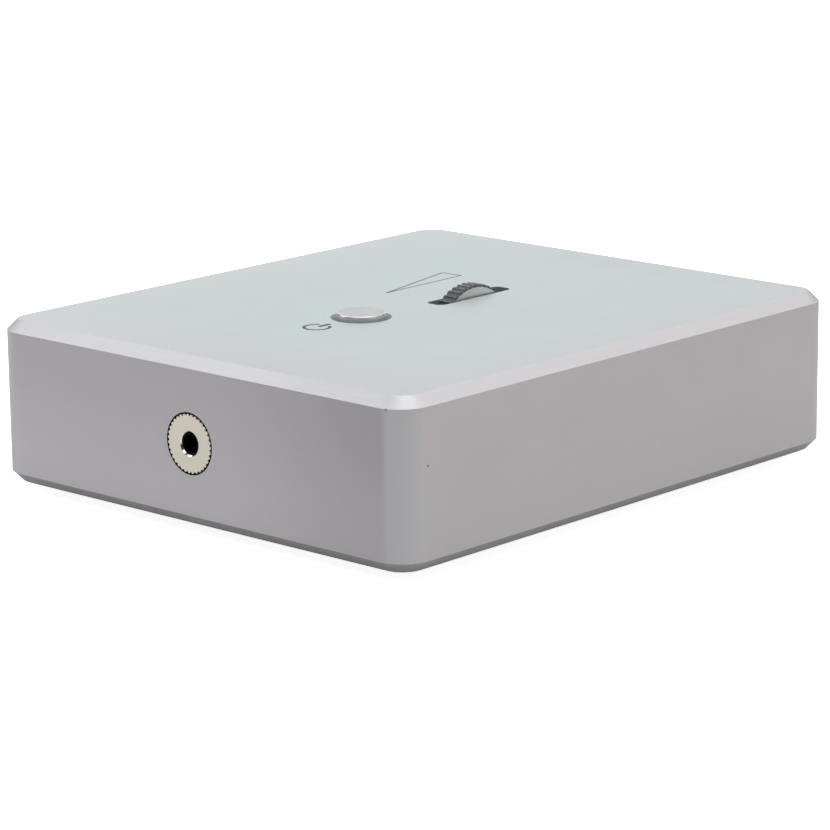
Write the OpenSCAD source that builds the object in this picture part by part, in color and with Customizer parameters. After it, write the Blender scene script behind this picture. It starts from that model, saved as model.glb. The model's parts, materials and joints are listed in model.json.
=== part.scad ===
// Phono preamplifier with a headphone outlet, as an assembly of separate pieces.
// Millimetres, +Z up, front face towards -Y, left and right as seen from the front.
// The origin lies on the surface that the feet stand on, in the middle of the footprint
// that the housing and the rear sockets take up together.

/* [Housing] */
// Width of the housing, left to right
body_w = 104; // [102:0.5:130]
// Depth of the housing, front face to rear face
body_d = 121; // [117:0.5:150]
// Height of the housing without its feet
body_h = 31; // [30:0.25:40]
// Radius of the four upright corners
corner_r = 6; // [4:0.25:8]
// Chamfer along the top and bottom edges
edge_chamfer = 2; // [1:0.1:2.5]
// Thickness of the top
top_t = 3; // [2:0.1:4]
// Thickness of the four walls
wall_t = 5.5; // [5:0.1:6.5]
// Radius in the upright corners of the pocket
pocket_r = 3; // [1:0.25:5]

/* [Base plate and feet] */
// Thickness of the base plate
base_t = 2; // [1.5:0.1:3]
// Distance from the housing's sides to the edge of the base plate
base_inset = 3.5; // [3:0.1:4.5]
// Diameter of a foot
foot_d = 12; // [8:0.5:14]
// Height of a foot
foot_h = 2; // [1:0.1:4]
// Rounding of a foot's lower edge
foot_round = 0.8; // [0.3:0.1:0.9]
// Distance from the housing's sides to a foot's centre
foot_inset_x = 21; // [18:0.5:28]
// Distance from the housing's front or rear face to a foot's centre
foot_inset_y = 14.5; // [12:0.5:16]

/* [Board and its fixing] */
// Free height between the base plate and the board
standoff_h = 5.7; // [5:0.1:7]
// Thickness of the main board and of the riser board
board_t = 1.6; // [1:0.1:2.4]
// Gap between the board and the side walls
board_side_gap = 3; // [2:0.1:5]
// Gap between the board and the front wall
board_front_gap = 1.5; // [1:0.1:4]
// Diameter of the posts that the board is drawn up against
post_d = 7; // [6:0.1:8]
// Distance from the side and front faces to a post's centre
post_inset = 11; // [10.5:0.1:13]
// Gap between the supply inlet and the rear posts in front of it
rear_post_gap = 1; // [0.3:0.1:4]
// Thread diameter of the base screws and standoffs
screw_d = 3; // [2.5:0.1:3.5]
// Width across the flats of a standoff
standoff_af = 5.5; // [5:0.1:6.5]

/* [Headphone jack] */
// Height of every socket's axis above the board
socket_axis_h = 6; // [5.8:0.1:7.5]
// Bore that takes the headphone plug
jack_bore_d = 3.6; // [3.5:0.05:3.8]
// Outside diameter of the jack's threaded sleeve
sleeve_d = 7.8; // [6.5:0.1:8.2]
// Depth of the bore that takes the plug
jack_bore_l = 15; // [13:0.1:15.5]
// Width of the jack's body
jack_w = 12; // [10:0.1:14]
// Length of the jack's body
jack_l = 14; // [13:0.1:18]
// Diameter of the counterbore in the front face
counterbore_d = 11.5; // [10.7:0.1:14]
// Gap between the ring nut and the counterbore
ring_gap = 0.12; // [0.1:0.01:0.4]
// Thickness of the ring nut, which is also the counterbore's depth
ring_nut_t = 2.5; // [2:0.1:3.5]
// Thickness of the ring nut's closed face
ring_face_t = 0.9; // [0.6:0.1:1.2]
// Diameter of the mouth in the ring nut's face
mouth_d = 4.3; // [4:0.1:5]
// Teeth round the ring nut
ring_teeth = 35; // [24:1:60]
// Depth of the ring nut's teeth
ring_tooth_h = 0.55; // [0.1:0.05:0.6]

/* [Power button] */
// Distance from the front face to the button's axis
button_from_front = 44.8; // [42:0.1:48]
// Diameter of the button's cap
button_d = 9.4; // [7:0.1:11]
// How far the button stands above the top
button_proud = 1; // [0.6:0.1:1.8]
// Rounding of the button's upper edge
button_round = 0.4; // [0.1:0.05:0.6]
// Radial gap between the button and its hole
button_gap = 0.15; // [0.08:0.01:0.4]
// Width of the sloping dish round the button
dish_w = 0.95; // [0.4:0.05:1.5]
// How far the button travels
button_travel = 2; // [1:0.1:2.5]
// Side of the switch case
switch_w = 8.5; // [7:0.1:11]
// Height of the switch case
switch_h = 8.5; // [7.5:0.1:9.5]
// Diameter of the switch's plunger
plunger_d = 3.4; // [2.5:0.1:3.8]
// Wire of the return spring
spring_wire = 0.5; // [0.3:0.05:0.6]
// Turns of the return spring
spring_turns = 6; // [4:1:7]

/* [Volume wheel] */
// Distance from the front face to the wheel's axis
wheel_from_front = 71.9; // [69:0.1:74]
// Distance from the middle of the housing to the middle of the wheel
wheel_x = 2.7; // [0:0.1:6]
// Thickness of the wheel
wheel_t = 3.2; // [2.8:0.1:4.5]
// How far the wheel stands above the top
wheel_proud = 2.35; // [1.5:0.05:3]
// Gap between the wheel's faces and its slot
slot_side_gap = 0.5; // [0.3:0.05:0.8]
// Gap between the wheel's rim and the ends of its slot
slot_end_gap = 1.05; // [0.6:0.05:2]
// Radius in the corners of the slot
slot_r = 1.3; // [0.3:0.1:1.6]
// Flutes round the wheel
flutes = 46; // [24:1:56]
// Depth of a flute
flute_depth = 0.45; // [0.2:0.05:0.6]
// Radius of the cutter that makes a flute
flute_r = 0.62; // [0.6:0.01:0.75]
// Diameter of the potentiometer's shaft
shaft_d = 6; // [4:0.1:6.5]
// Side of the potentiometer's case
pot_w = 9.6; // [8.5:0.1:11]
// Depth of the potentiometer's case
pot_t = 5; // [4:0.1:7]
// Gap between the potentiometer and the underside of the top
pot_gap = 0.35; // [0.2:0.05:1]
// Length of the riser board that carries the potentiometer
riser_l = 16; // [13:0.1:20]

/* [Rear panel] */
// Thickness of the rear panel
panel_t = 2; // [1.5:0.1:2.5]
// How far the rear panel lies inside the rear face
panel_recess = 2; // [1.5:0.1:2.5]
// Width of the frame beside the rear opening
rear_frame_w = 8; // [7.5:0.1:8.5]
// Height of the frame above the rear opening
rear_lintel = 5; // [4.7:0.1:6]
// How far the rear panel reaches into its grooves
panel_lap = 1.5; // [1:0.1:1.6]
// How far the sockets stand out behind the rear face
rear_reach = 8; // [7:0.1:9]

/* [Phono sockets] */
// Distance between the two sockets of a pair
socket_pitch = 14; // [13.5:0.1:14.5]
// Wall of a socket block beside the sockets' flanges
block_wall = 0.3; // [0.2:0.05:0.4]
// Depth of a socket block
block_l = 12; // [10.5:0.1:13]
// Height of a socket block
block_h = 14.5; // [14:0.1:16]
// Outside diameter of a socket's shell
shell_d = 8.3; // [8.1:0.05:8.5]
// Wall of a socket's shell
shell_t = 0.5; // [0.4:0.05:0.7]
// Diameter of the flange that holds a shell behind the panel
shell_flange_d = 10.2; // [9.6:0.1:11]
// Bore of a centre contact
contact_bore_d = 3.24; // [3.2:0.01:3.4]
// Height of the block screws above the sockets' axis
block_screw_up = 5.5; // [5:0.1:5.8]

/* [Ground terminal] */
// Diameter of the ground stud
stud_d = 4; // [3.5:0.1:4.4]
// Diameter of the stud's flange
stud_flange_d = 8; // [7:0.1:9]
// Diameter of the thumb nut
thumb_nut_d = 9; // [7.5:0.1:9.4]
// Thickness of the thumb nut
thumb_nut_t = 5; // [4:0.1:5.2]
// Thickness of the washer
washer_t = 0.8; // [0.5:0.1:1]
// Teeth round the thumb nut
thumb_teeth = 36; // [20:1:48]

/* [Low-voltage inlet] */
// Width of the inlet's body
inlet_w = 9; // [8.5:0.1:9.2]
// Length of the inlet's body
inlet_l = 13.5; // [12:0.1:13.8]
// Height of the inlet's body
inlet_h = 11; // [10:0.1:13]
// Bore that takes the supply plug
inlet_bore_d = 6.3; // [5.8:0.1:6.5]
// Diameter of the inlet's centre pin
inlet_pin_d = 2; // [1.3:0.1:2.5]

/* [Gain selector] */
// Width of the selector's case
selector_w = 9; // [8.5:0.1:11]
// Travel of the selector's slider
selector_travel = 3; // [2:0.1:3.5]
// Side of the knob on the slider
selector_knob = 3; // [2:0.1:3.4]

/* [Hidden] */
$fn = 64;

// Clearances
slip = 0.1;      // pieces that slide together by hand
running = 0.05;  // radial clearance of what turns or slides in use
push = 0.02;     // radial clearance of what is pressed or screwed in
over = 1;        // how far a cutter reaches past the face that it cuts

// Levels
base_top = foot_h + base_t;
board_bottom = base_top + standoff_h;
board_top = board_bottom + board_t;
axis_z = board_top + socket_axis_h;
body_top = foot_h + body_h;
ceiling = body_top - top_t;

// Front to rear
front_y = -(body_d + rear_reach) / 2;
rear_y = front_y + body_d;
middle_y = front_y + body_d / 2;
front_wall_y = front_y + wall_t;
panel_out_y = rear_y - panel_recess;
panel_in_y = panel_out_y - panel_t;
shell_tip_y = rear_y + rear_reach;
board_front_y = front_wall_y + board_front_gap;
board_rear_gap = 0.5;
board_rear_y = panel_in_y - board_rear_gap;

// Rear opening
opening_half = body_w / 2 - rear_frame_w;
opening_top = body_top - rear_lintel;
board_half = body_w / 2 - max(wall_t + board_side_gap, rear_frame_w + board_rear_gap);

// Posts, with the base screws under them
post_x = body_w / 2 - post_inset;
rear_post_y = panel_in_y - inlet_l - rear_post_gap - post_d / 2;
posts = [
    [-post_x, front_y + post_inset], [post_x, front_y + post_inset],
    [-post_x, rear_post_y], [post_x, rear_post_y]
];
post_hole_l = 8;
standoff_stud_l = 6;
standoff_hole_l = 4.5;
csk_head_d = screw_d + 2.4;
csk_head_h = 1.4;
base_screw_grip = 4;
key_af = 2;
key_l = 1;

// Power button
button_y = front_y + button_from_front;
button_hole_d = button_d + 2 * button_gap;
cap_rim = 1;
cap_flange_d = button_d + 2 * cap_rim;
cap_flange_t = 1.2;
cap_bottom = ceiling - slip - cap_flange_t;
switch_top = board_top + switch_h;
spring_gap = 0.7;
spring_r = plunger_d / 2 + spring_wire / 2 + spring_gap;
plunger_root_l = 4;
plunger_well_l = plunger_root_l + button_travel + 0.5;

// Volume wheel: its height follows from the potentiometer, its radius from how far it shows
wheel_y = front_y + wheel_from_front;
wheel_z = ceiling - pot_gap - pot_w / 2;
wheel_r = body_top + wheel_proud - wheel_z;
wheel_side = wheel_x + wheel_t / 2;
slot_w = wheel_t + 2 * slot_side_gap;
rim_reach = sqrt(wheel_r * wheel_r - (ceiling - wheel_z) * (ceiling - wheel_z));
slot_l = 2 * (rim_reach + slot_end_gap);
pot_collar_d = shaft_d + 1;
pot_collar_t = 1.2;
wheel_to_collar = 1;
pot_x = wheel_side + wheel_to_collar + pot_collar_t;
pot_back_wall = 1;
riser_x = pot_x + pot_t;
wheel_recess = 1.2;
wheel_web = 0.6;
wheel_edge = 0.25;
wheel_screw_d = 2;
wheel_screw_l = 4;
wheel_screw_head_d = 4;
wheel_screw_head_h = 0.9;
shaft_flat = shaft_d / 2 - 0.75;
terminal_pitch = 2.5;
terminal_r = 0.4;
terminal_z = wheel_z - pot_w / 2 + 1.5;

// Header that ties the riser board to the main board
header_pins = 5;
header_pitch = 2.54;
header_w = 2.5;
header_pin_r = 0.32;
header_z = board_top + header_w / 2;

// What stands in the rear opening, from left to right as seen from the front
block_w = socket_pitch + shell_flange_d + 2 * block_wall;
row_widths = [block_w, thumb_nut_d, block_w, selector_w, inlet_w];
row_margin = 0.2;
row_half = opening_half - row_margin;
function sum_to(list, n) = n == 0 ? 0 : list[n - 1] + sum_to(list, n - 1);
row_gap = (2 * row_half - sum_to(row_widths, 5)) / 4;
function row_x(i) = -row_half + sum_to(row_widths, i) + i * row_gap + row_widths[i] / 2;
input_x = row_x(0);
ground_x = row_x(1);
output_x = row_x(2);
selector_x = row_x(3);
inlet_x = row_x(4);

// Phono sockets
shell_r = shell_d / 2;
shell_flange_t = 1.2;
insulator_r = shell_r - shell_t - push;
shell_root_step = 0.3;
shell_root_r = shell_r + shell_root_step;
shell_edge = 0.2;
insulator_tail = 7;
insulator_tip_y = shell_tip_y - 0.8;
contact_wall = 0.45;
contact_r = contact_bore_d / 2 + contact_wall;
contact_tip_y = insulator_tip_y - 0.3;
contact_l = 9.5;
contact_floor = 0.8;
pin_r = 0.6;
pin_behind = 1;
block_screw_r = 1.25;
block_screw_l = 5;
block_screw_head_r = 2.3;
block_screw_head_h = 1.6;
panel_hole_gap = 0.3;

// Ground terminal
stud_flange_t = 1.5;
washer_y = panel_out_y + stud_flange_t + slip;
thumb_nut_y = washer_y + washer_t + slip;
washer_rim = 0.2;
inner_nut_wall = 1.5;
inner_nut_af = stud_d + 2 * inner_nut_wall;
inner_nut_t = 3.2;
stud_tail = inner_nut_t + 1;
stud_tip_y = shell_tip_y - 0.6;
thumb_collar_t = 1;
thumb_tooth_h = 0.3;

// Low-voltage inlet
inlet_bore_l = 9.5;
inlet_pin_back = 1;
inlet_leg_back = inlet_l - inlet_bore_l - 1.2;
inlet_hole_gap = 0.6;

// Gain selector
selector_l = 6;
selector_h = 8;
selector_wall = 0.8;
selector_leg = 0.8;
selector_base_w = selector_w - 2 * selector_wall - selector_travel - 2 * slip;
knob_gap = 0.2;
knob_out = 1.4;

// Headphone jack
jack_body_top = sleeve_d / 2 + 1.5;
sleeve_tip_y = front_y + ring_face_t + running;
mouth_chamfer = 0.25;
nose_tip_y = front_y + mouth_chamfer + running;
jack_bore_end_y = nose_tip_y + jack_bore_l;
leaf_t = 0.4;
leaf_slot = leaf_t + 2 * slip;
leaf_up = 1.5;
leaf_leg = 1.2;
leaf_front_gap = 1.5;
leaf_rear_gap = 3.5;
leaf_l = jack_l - leaf_front_gap - leaf_rear_gap;
leaf_x = jack_bore_d / 2 + 0.2 + leaf_slot / 2;
leaf_y = front_wall_y + leaf_front_gap + leaf_l / 2;
tip_leaf_y = jack_bore_end_y + 0.4 + leaf_slot / 2;

// Parts on the board: their sizes
chip_l = 9.6;
chip_w = 6.4;
chip_h = 3.3;
chip_lift = 0.7;
chip_pitch = 2.54;
room_h = ceiling - board_top;
supply_can_d = 8;
supply_can_h = 11.5;
reservoir_d = 12.5;
reservoir_headroom = 2.5;
reservoir_h = room_h - reservoir_headroom;
coupling_w = 18;
coupling_d = 9;
coupling_h = 14;
equaliser_w = 5;
equaliser_d = 7.2;
equaliser_h = 10;
relay_w = 20;
relay_d = 9.8;
relay_h = 10.4;
coil_r = 4.5;
coil_h = 9;
coil_flange = 1;
coil_waist = 0.6;
resistor_span = 10;
resistor_l = 6.2;
resistor_r = 1.1;
resistor_cap_r = 1.3;
resistor_leg_r = 0.3;
resistor_up = 1.7;
resistor_pitch = 3.6;
regulator_w = 10;
regulator_d = 3;
regulator_lift = 2;
tab_t = 1.3;
tab_headroom = 1.5;
tab_above = 6;
tab_h = room_h - regulator_lift - tab_headroom;
regulator_h = tab_h - tab_above;
tab_hole_r = 1.8;

// Parts on the board: their places, in rows that follow each other from the front
part_gap = 1.5;
edge_gap = 2;
chips_from_front = 7;
cans_from_front = 19;
resistors_from_front = 20;
regulators_from_front = 15;
regulator_pitch = 13;
regulator_in = 20;
can_pitch = supply_can_d + part_gap;
reservoir_pitch = reservoir_d + part_gap;
coupling_pitch = coupling_d + part_gap;
equaliser_pitch = equaliser_w + part_gap;
left_x = -board_half + edge_gap;
cans_y = board_front_y + cans_from_front;
coupling_y = cans_y + can_pitch + supply_can_d / 2 + part_gap + coupling_d / 2;
equaliser_y = coupling_y + coupling_pitch + coupling_d / 2 + edge_gap + equaliser_d / 2;
regulators_y = board_front_y + regulators_from_front;
reservoir_x = board_half - edge_gap - reservoir_d / 2;
reservoir_y = regulators_y + regulator_pitch + regulator_d + reservoir_pitch / 2;
resistors_x = -switch_w / 2 - part_gap - resistor_span / 2;
block_front_y = panel_in_y - block_l;
behind_blocks_y = block_front_y - pin_behind - 2 * pin_r - part_gap - relay_d / 2;
chip_row_x = chip_w + 4 * part_gap;

// Shapes that several pieces use

module rounded_rect(w, d, r) {
    square([w, d - 2 * r], center = true);
    square([w - 2 * r, d], center = true);
    for (sx = [-1, 1], sy = [-1, 1])
        translate([sx * (w / 2 - r), sy * (d / 2 - r)]) circle(r);
}

module rounded_plate(w, d, h, r) {
    linear_extrude(height = h) rounded_rect(w, d, r);
}

// Outline of an upright section with a chamfer at every corner
module chamfered_section(w, h, c) {
    polygon([
        [-w / 2 + c, 0], [w / 2 - c, 0], [w / 2, c], [w / 2, h - c],
        [w / 2 - c, h], [-w / 2 + c, h], [-w / 2, h - c], [-w / 2, c]
    ]);
}

// A block with round upright corners and a chamfer that runs right round its top and bottom
module chamfered_block(w, d, h, r, c) {
    rotate([90, 0, 0])
        linear_extrude(height = d - 2 * r, center = true) chamfered_section(w, h, c);
    rotate([90, 0, 90])
        linear_extrude(height = w - 2 * r, center = true) chamfered_section(d, h, c);
    for (sx = [-1, 1], sy = [-1, 1])
        translate([sx * (w / 2 - r), sy * (d / 2 - r), 0])
            rotate_extrude()
                polygon([[0, 0], [r - c, 0], [r, c], [r, h - c], [r - c, h], [0, h]]);
}

// A box given by the middle of its base
module box(w, d, h) {
    translate([-w / 2, -d / 2, 0]) cube([w, d, h]);
}

// A cylinder along +Y that starts at y = 0
module rod_y(r, l) {
    rotate([-90, 0, 0]) cylinder(r = r, h = l);
}

// A cylinder along +X that starts at x = 0
module rod_x(r, l) {
    rotate([0, 90, 0]) cylinder(r = r, h = l);
}

// A disc whose upper edge is rounded
module rounded_disc(r, h, f) {
    rotate_extrude() {
        square([r - f, h]);
        square([r, h - f]);
        translate([r - f, h - f]) circle(f, $fn = 32);
    }
}

// Outline of a round piece with pointed teeth
module toothed_outline(r, depth, count) {
    polygon([
        for (i = [0 : 2 * count - 1])
            let (a = i * 180 / count, q = i % 2 == 0 ? r : r - depth)
            [q * cos(a), q * sin(a)]
    ]);
}

// A hexagonal column given by its width across the flats
module hexagon(af, h) {
    cylinder(d = af / cos(30), h = h, $fn = 6);
}

// A wire leg that runs back along -Y from the origin and then down
module bent_leg(r, back, down) {
    translate([0, -back, 0]) rod_y(r, back);
    translate([0, -back, 0]) sphere(r, $fn = 24);
    translate([0, -back, -down]) cylinder(r = r, h = down, $fn = 24);
}

// Housing

module housing_shell() {
    difference() {
        translate([0, middle_y, foot_h])
            chamfered_block(body_w, body_d, body_h, corner_r, edge_chamfer);
        translate([0, middle_y, foot_h - over])
            rounded_plate(body_w - 2 * wall_t, body_d - 2 * wall_t, body_h - top_t + over, pocket_r);
        base_rebate();
        rear_opening();
    }
}

// The rebate that the base plate lies in
module base_rebate() {
    rebate_front = front_y + base_inset - slip;
    rebate_w = body_w - 2 * base_inset + 2 * slip;
    translate([0, (rebate_front + panel_in_y) / 2, foot_h - over])
        rounded_plate(rebate_w, panel_in_y - rebate_front, base_t + over, corner_r - base_inset + slip);
}

// The opening in the rear wall and the grooves that the rear panel slides up in
module rear_opening() {
    groove_half = opening_half + panel_lap + slip;
    translate([-opening_half, rear_y - wall_t - over, foot_h - over])
        cube([2 * opening_half, wall_t + 2 * over, opening_top - foot_h + over]);
    translate([-groove_half, panel_in_y - slip / 2, foot_h - over])
        cube([2 * groove_half, panel_t + slip, opening_top + panel_lap + slip - foot_h + over]);
}

module button_hole() {
    translate([0, button_y, ceiling - over]) cylinder(d = button_hole_d, h = top_t + 2 * over);
    translate([0, button_y, body_top - dish_w])
        cylinder(d1 = button_hole_d, d2 = button_hole_d + 4 * dish_w, h = 2 * dish_w);
}

module wheel_slot() {
    translate([wheel_x, wheel_y, ceiling - over]) rounded_plate(slot_w, slot_l, top_t + 2 * over, slot_r);
}

module jack_hole() {
    translate([0, front_y - over, axis_z]) rod_y(sleeve_d / 2 + slip, wall_t + 2 * over);
    translate([0, front_y - over, axis_z]) rod_y(counterbore_d / 2, ring_nut_t + over);
}

module housing() {
    color("#c6cbce")
        difference() {
            union() {
                housing_shell();
                for (p = posts)
                    translate([p.x, p.y, board_top]) cylinder(d = post_d, h = ceiling - board_top + over);
            }
            button_hole();
            wheel_slot();
            jack_hole();
            for (p = posts)
                translate([p.x, p.y, board_top - over])
                    cylinder(r = screw_d / 2 + push, h = post_hole_l + over);
        }
}

// Base plate, its screws, the standoffs and the feet

module base_plate() {
    plate_front = front_y + base_inset;
    plate_rear = panel_in_y - slip;
    color("#b9bdc0")
        difference() {
            translate([0, (plate_front + plate_rear) / 2, foot_h])
                rounded_plate(body_w - 2 * base_inset, plate_rear - plate_front, base_t,
                              corner_r - base_inset);
            for (p = posts) {
                translate([p.x, p.y, foot_h - over]) cylinder(r = screw_d / 2 + slip, h = base_t + 2 * over);
                translate([p.x, p.y, foot_h])
                    cylinder(d1 = csk_head_d + 2 * running, d2 = screw_d + 2 * running, h = csk_head_h);
            }
        }
}

module base_screw() {
    difference() {
        union() {
            cylinder(d1 = csk_head_d, d2 = screw_d, h = csk_head_h);
            cylinder(d = screw_d, h = base_t + base_screw_grip);
        }
        translate([0, 0, -over]) hexagon(key_af, over + key_l);
    }
}

module base_screws() {
    color("#3a3b3d")
        for (p = posts)
            translate([p.x, p.y, foot_h]) base_screw();
}

module standoff() {
    difference() {
        union() {
            hexagon(standoff_af, standoff_h);
            cylinder(d = screw_d, h = standoff_h + board_t + standoff_stud_l);
        }
        translate([0, 0, -over]) cylinder(r = screw_d / 2 + push, h = standoff_hole_l + over);
    }
}

module standoffs() {
    color("#c8a850")
        for (p = posts)
            translate([p.x, p.y, base_top]) standoff();
}

module foot(side_x, side_y) {
    color("#1c1c1e")
        translate([side_x * (body_w / 2 - foot_inset_x),
                   middle_y + side_y * (body_d / 2 - foot_inset_y), foot_h])
            rotate([180, 0, 0]) rounded_disc(foot_d / 2, foot_h, foot_round);
}

// Rear panel

module rear_panel() {
    panel_half = opening_half + panel_lap;
    slot_half = (selector_knob + selector_travel) / 2 + panel_hole_gap;
    slot_h = selector_knob + 2 * panel_hole_gap;
    through = panel_t + 2 * over;
    color("#b4b8bb")
        difference() {
            translate([-panel_half, panel_in_y, foot_h])
                cube([2 * panel_half, panel_t, opening_top + panel_lap - foot_h]);
            translate([0, panel_in_y - over, axis_z]) {
                for (x = [input_x, output_x]) {
                    for (side = [-1, 1])
                        translate([x + side * socket_pitch / 2, 0, 0])
                            rod_y(shell_root_r + panel_hole_gap, through);
                    translate([x, 0, block_screw_up]) rod_y(block_screw_r + slip, through);
                }
                translate([ground_x, 0, 0]) rod_y(stud_d / 2 + slip, through);
                translate([inlet_x, 0, 0]) rod_y(inlet_bore_d / 2 + inlet_hole_gap, through);
                translate([selector_x - slot_half, 0, -slot_h / 2]) cube([2 * slot_half, through, slot_h]);
            }
        }
}

// Screw with a cross in its rounded head, pointing along -Y
module panel_screw() {
    cross_l = 3;
    cross_w = 0.6;
    cross_deep = 0.8;
    difference() {
        union() {
            rotate([-90, 0, 0]) rounded_disc(block_screw_head_r, block_screw_head_h, 0.5);
            translate([0, -panel_t - block_screw_l, 0]) rod_y(block_screw_r, panel_t + block_screw_l + 0.5);
        }
        for (a = [0, 90])
            rotate([0, a, 0])
                translate([-cross_l / 2, block_screw_head_h - cross_deep, -cross_w / 2])
                    cube([cross_l, cross_deep + over, cross_w]);
    }
}

module panel_screws() {
    color("#2c2d2f")
        for (x = [input_x, output_x])
            translate([x, panel_out_y, axis_z + block_screw_up]) panel_screw();
}

// Main board

// The slot in the board gives the wheel room
module main_board() {
    color("#1f5a3c")
        difference() {
            translate([-board_half, board_front_y, board_bottom])
                cube([2 * board_half, board_rear_y - board_front_y, board_t]);
            for (p = posts)
                translate([p.x, p.y, board_bottom - over])
                    cylinder(r = screw_d / 2 + slip, h = board_t + 2 * over);
            translate([wheel_x, wheel_y, board_bottom - over])
                rounded_plate(slot_w, wheel_r, board_t + 2 * over, slot_r);
        }
}

// Headphone jack

module headphone_jack_body() {
    color("#232325")
        difference() {
            translate([0, front_wall_y + jack_l / 2, board_top])
                box(jack_w, jack_l, socket_axis_h + jack_body_top);
            translate([0, front_wall_y - over, axis_z])
                rod_y(jack_bore_d / 2, jack_bore_end_y - front_wall_y + over);
            for (side = [-1, 1])
                translate([side * leaf_x, leaf_y, board_top - over])
                    box(leaf_slot, leaf_l, socket_axis_h + leaf_up + slip + over);
            translate([0, tip_leaf_y, board_top - over])
                box(2 * leaf_up + 2 * slip, leaf_slot, socket_axis_h + leaf_up + slip + over);
        }
}

// The sleeve's nose stands in the ring nut's mouth
module headphone_jack_sleeve() {
    nose_l = front_wall_y - nose_tip_y;
    color("#232325")
        translate([0, nose_tip_y, axis_z])
            difference() {
                union() {
                    rod_y(mouth_d / 2 - running, nose_l);
                    translate([0, sleeve_tip_y - nose_tip_y, 0])
                        rod_y(sleeve_d / 2, front_wall_y - sleeve_tip_y);
                }
                translate([0, -over, 0]) rod_y(jack_bore_d / 2, nose_l + 2 * over);
            }
}

// Two leaves beside the bore and one behind its end, each with a leg that reaches the board
module headphone_contacts() {
    side_leaf_l = leaf_l - 2 * slip;
    color("#d8b75a") {
        for (side = [-1, 1])
            translate([side * leaf_x, leaf_y, 0]) {
                translate([0, 0, axis_z - leaf_up]) box(leaf_t, side_leaf_l, 2 * leaf_up);
                translate([0, (side_leaf_l - leaf_leg) / 2, board_top]) box(leaf_t, leaf_leg, socket_axis_h);
            }
        translate([0, tip_leaf_y, 0]) {
            translate([0, 0, axis_z - leaf_up]) box(2 * leaf_up, leaf_t, 2 * leaf_up);
            translate([0, 0, board_top]) box(leaf_leg, leaf_t, socket_axis_h);
        }
    }
}

module headphone_ring_nut() {
    ring_r = counterbore_d / 2 - ring_gap;
    color("#d6cebf")
        translate([0, front_y, axis_z])
            difference() {
                rotate([-90, 0, 0])
                    linear_extrude(height = ring_nut_t) toothed_outline(ring_r, ring_tooth_h, ring_teeth);
                translate([0, -over, 0]) rod_y(mouth_d / 2, ring_nut_t + 2 * over);
                translate([0, ring_face_t, 0]) rod_y(sleeve_d / 2 + push, ring_nut_t);
                translate([0, -mouth_chamfer, 0])
                    rotate([-90, 0, 0])
                        cylinder(d1 = mouth_d + 4 * mouth_chamfer, d2 = mouth_d, h = 2 * mouth_chamfer);
            }
}

// Power button and its switch

module power_button_cap() {
    color("#b9b9b6")
        difference() {
            translate([0, button_y, cap_bottom])
                union() {
                    rounded_disc(button_d / 2, body_top + button_proud - cap_bottom, button_round);
                    cylinder(d = cap_flange_d, h = cap_flange_t);
                }
            translate([0, button_y, cap_bottom - over])
                cylinder(r = plunger_d / 2 + push, h = ceiling - cap_bottom + over);
        }
}

module power_switch_plunger() {
    foot_z = switch_top - plunger_root_l;
    color("#e6e3da")
        translate([0, button_y, foot_z]) cylinder(d = plunger_d, h = ceiling - push - foot_z);
}

module power_switch_case() {
    color("#2a2b2e")
        difference() {
            translate([0, button_y, board_top]) box(switch_w, switch_w, switch_h);
            translate([0, button_y, switch_top - plunger_well_l])
                cylinder(r = plunger_d / 2 + running, h = plunger_well_l + over);
        }
}

// The return spring: a wire swept along a helix between the switch and the cap
module power_switch_spring() {
    sides = 6;
    per_turn = 14;
    rings = spring_turns * per_turn;
    height = cap_bottom - switch_top - spring_wire - 2 * running;
    color("#a8abad")
        translate([0, button_y, switch_top + spring_wire / 2 + running])
            polyhedron(
                points = [
                    for (i = [0 : rings], j = [0 : sides - 1])
                        let (turn = 360 * i / per_turn, around = 360 * j / sides,
                             q = spring_r + spring_wire / 2 * cos(around))
                        [q * cos(turn), q * sin(turn), height * i / rings + spring_wire / 2 * sin(around)]
                ],
                faces = concat(
                    [[for (j = [0 : sides - 1]) j]],
                    [
                        for (i = [0 : rings - 1], j = [0 : sides - 1])
                            let (k = (j + 1) % sides)
                            [i * sides + j, (i + 1) * sides + j, (i + 1) * sides + k, i * sides + k]
                    ],
                    [[for (j = [0 : sides - 1]) rings * sides + sides - 1 - j]]
                )
            );
}

// Volume wheel, shaft and potentiometer

// The wheel's disc, with a land between two flutes at its top
module fluted_disc() {
    difference() {
        rotate([0, 90, 0])
            rotate_extrude($fn = 128)
                polygon([[0, 0], [wheel_r - wheel_edge, 0], [wheel_r, wheel_edge],
                         [wheel_r, wheel_t - wheel_edge], [wheel_r - wheel_edge, wheel_t], [0, wheel_t]]);
        for (i = [0 : flutes - 1])
            rotate([360 * (i + 0.5) / flutes, 0, 0])
                translate([-over, 0, wheel_r + flute_r - flute_depth])
                    rod_x(flute_r, wheel_t + 2 * over, $fn = 24);
    }
}

// The shaft's end is round with one flat side
module flatted_rod(r, l, flat) {
    difference() {
        rod_x(r, l);
        translate([-over, flat, -r - over]) cube([l + 2 * over, r + over, 2 * (r + over)]);
    }
}

module volume_wheel() {
    bore_x = wheel_recess + wheel_web;
    color("#b5b5b2")
        translate([wheel_side - wheel_t, wheel_y, wheel_z])
            difference() {
                fluted_disc();
                translate([-over, 0, 0]) rod_x(wheel_screw_head_d / 2 + 0.5, wheel_recess + over);
                translate([-over, 0, 0]) rod_x(wheel_screw_d / 2 + slip, wheel_t + 2 * over);
                translate([bore_x, 0, 0]) flatted_rod(shaft_d / 2 + push, wheel_t, shaft_flat + push);
            }
}

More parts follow.
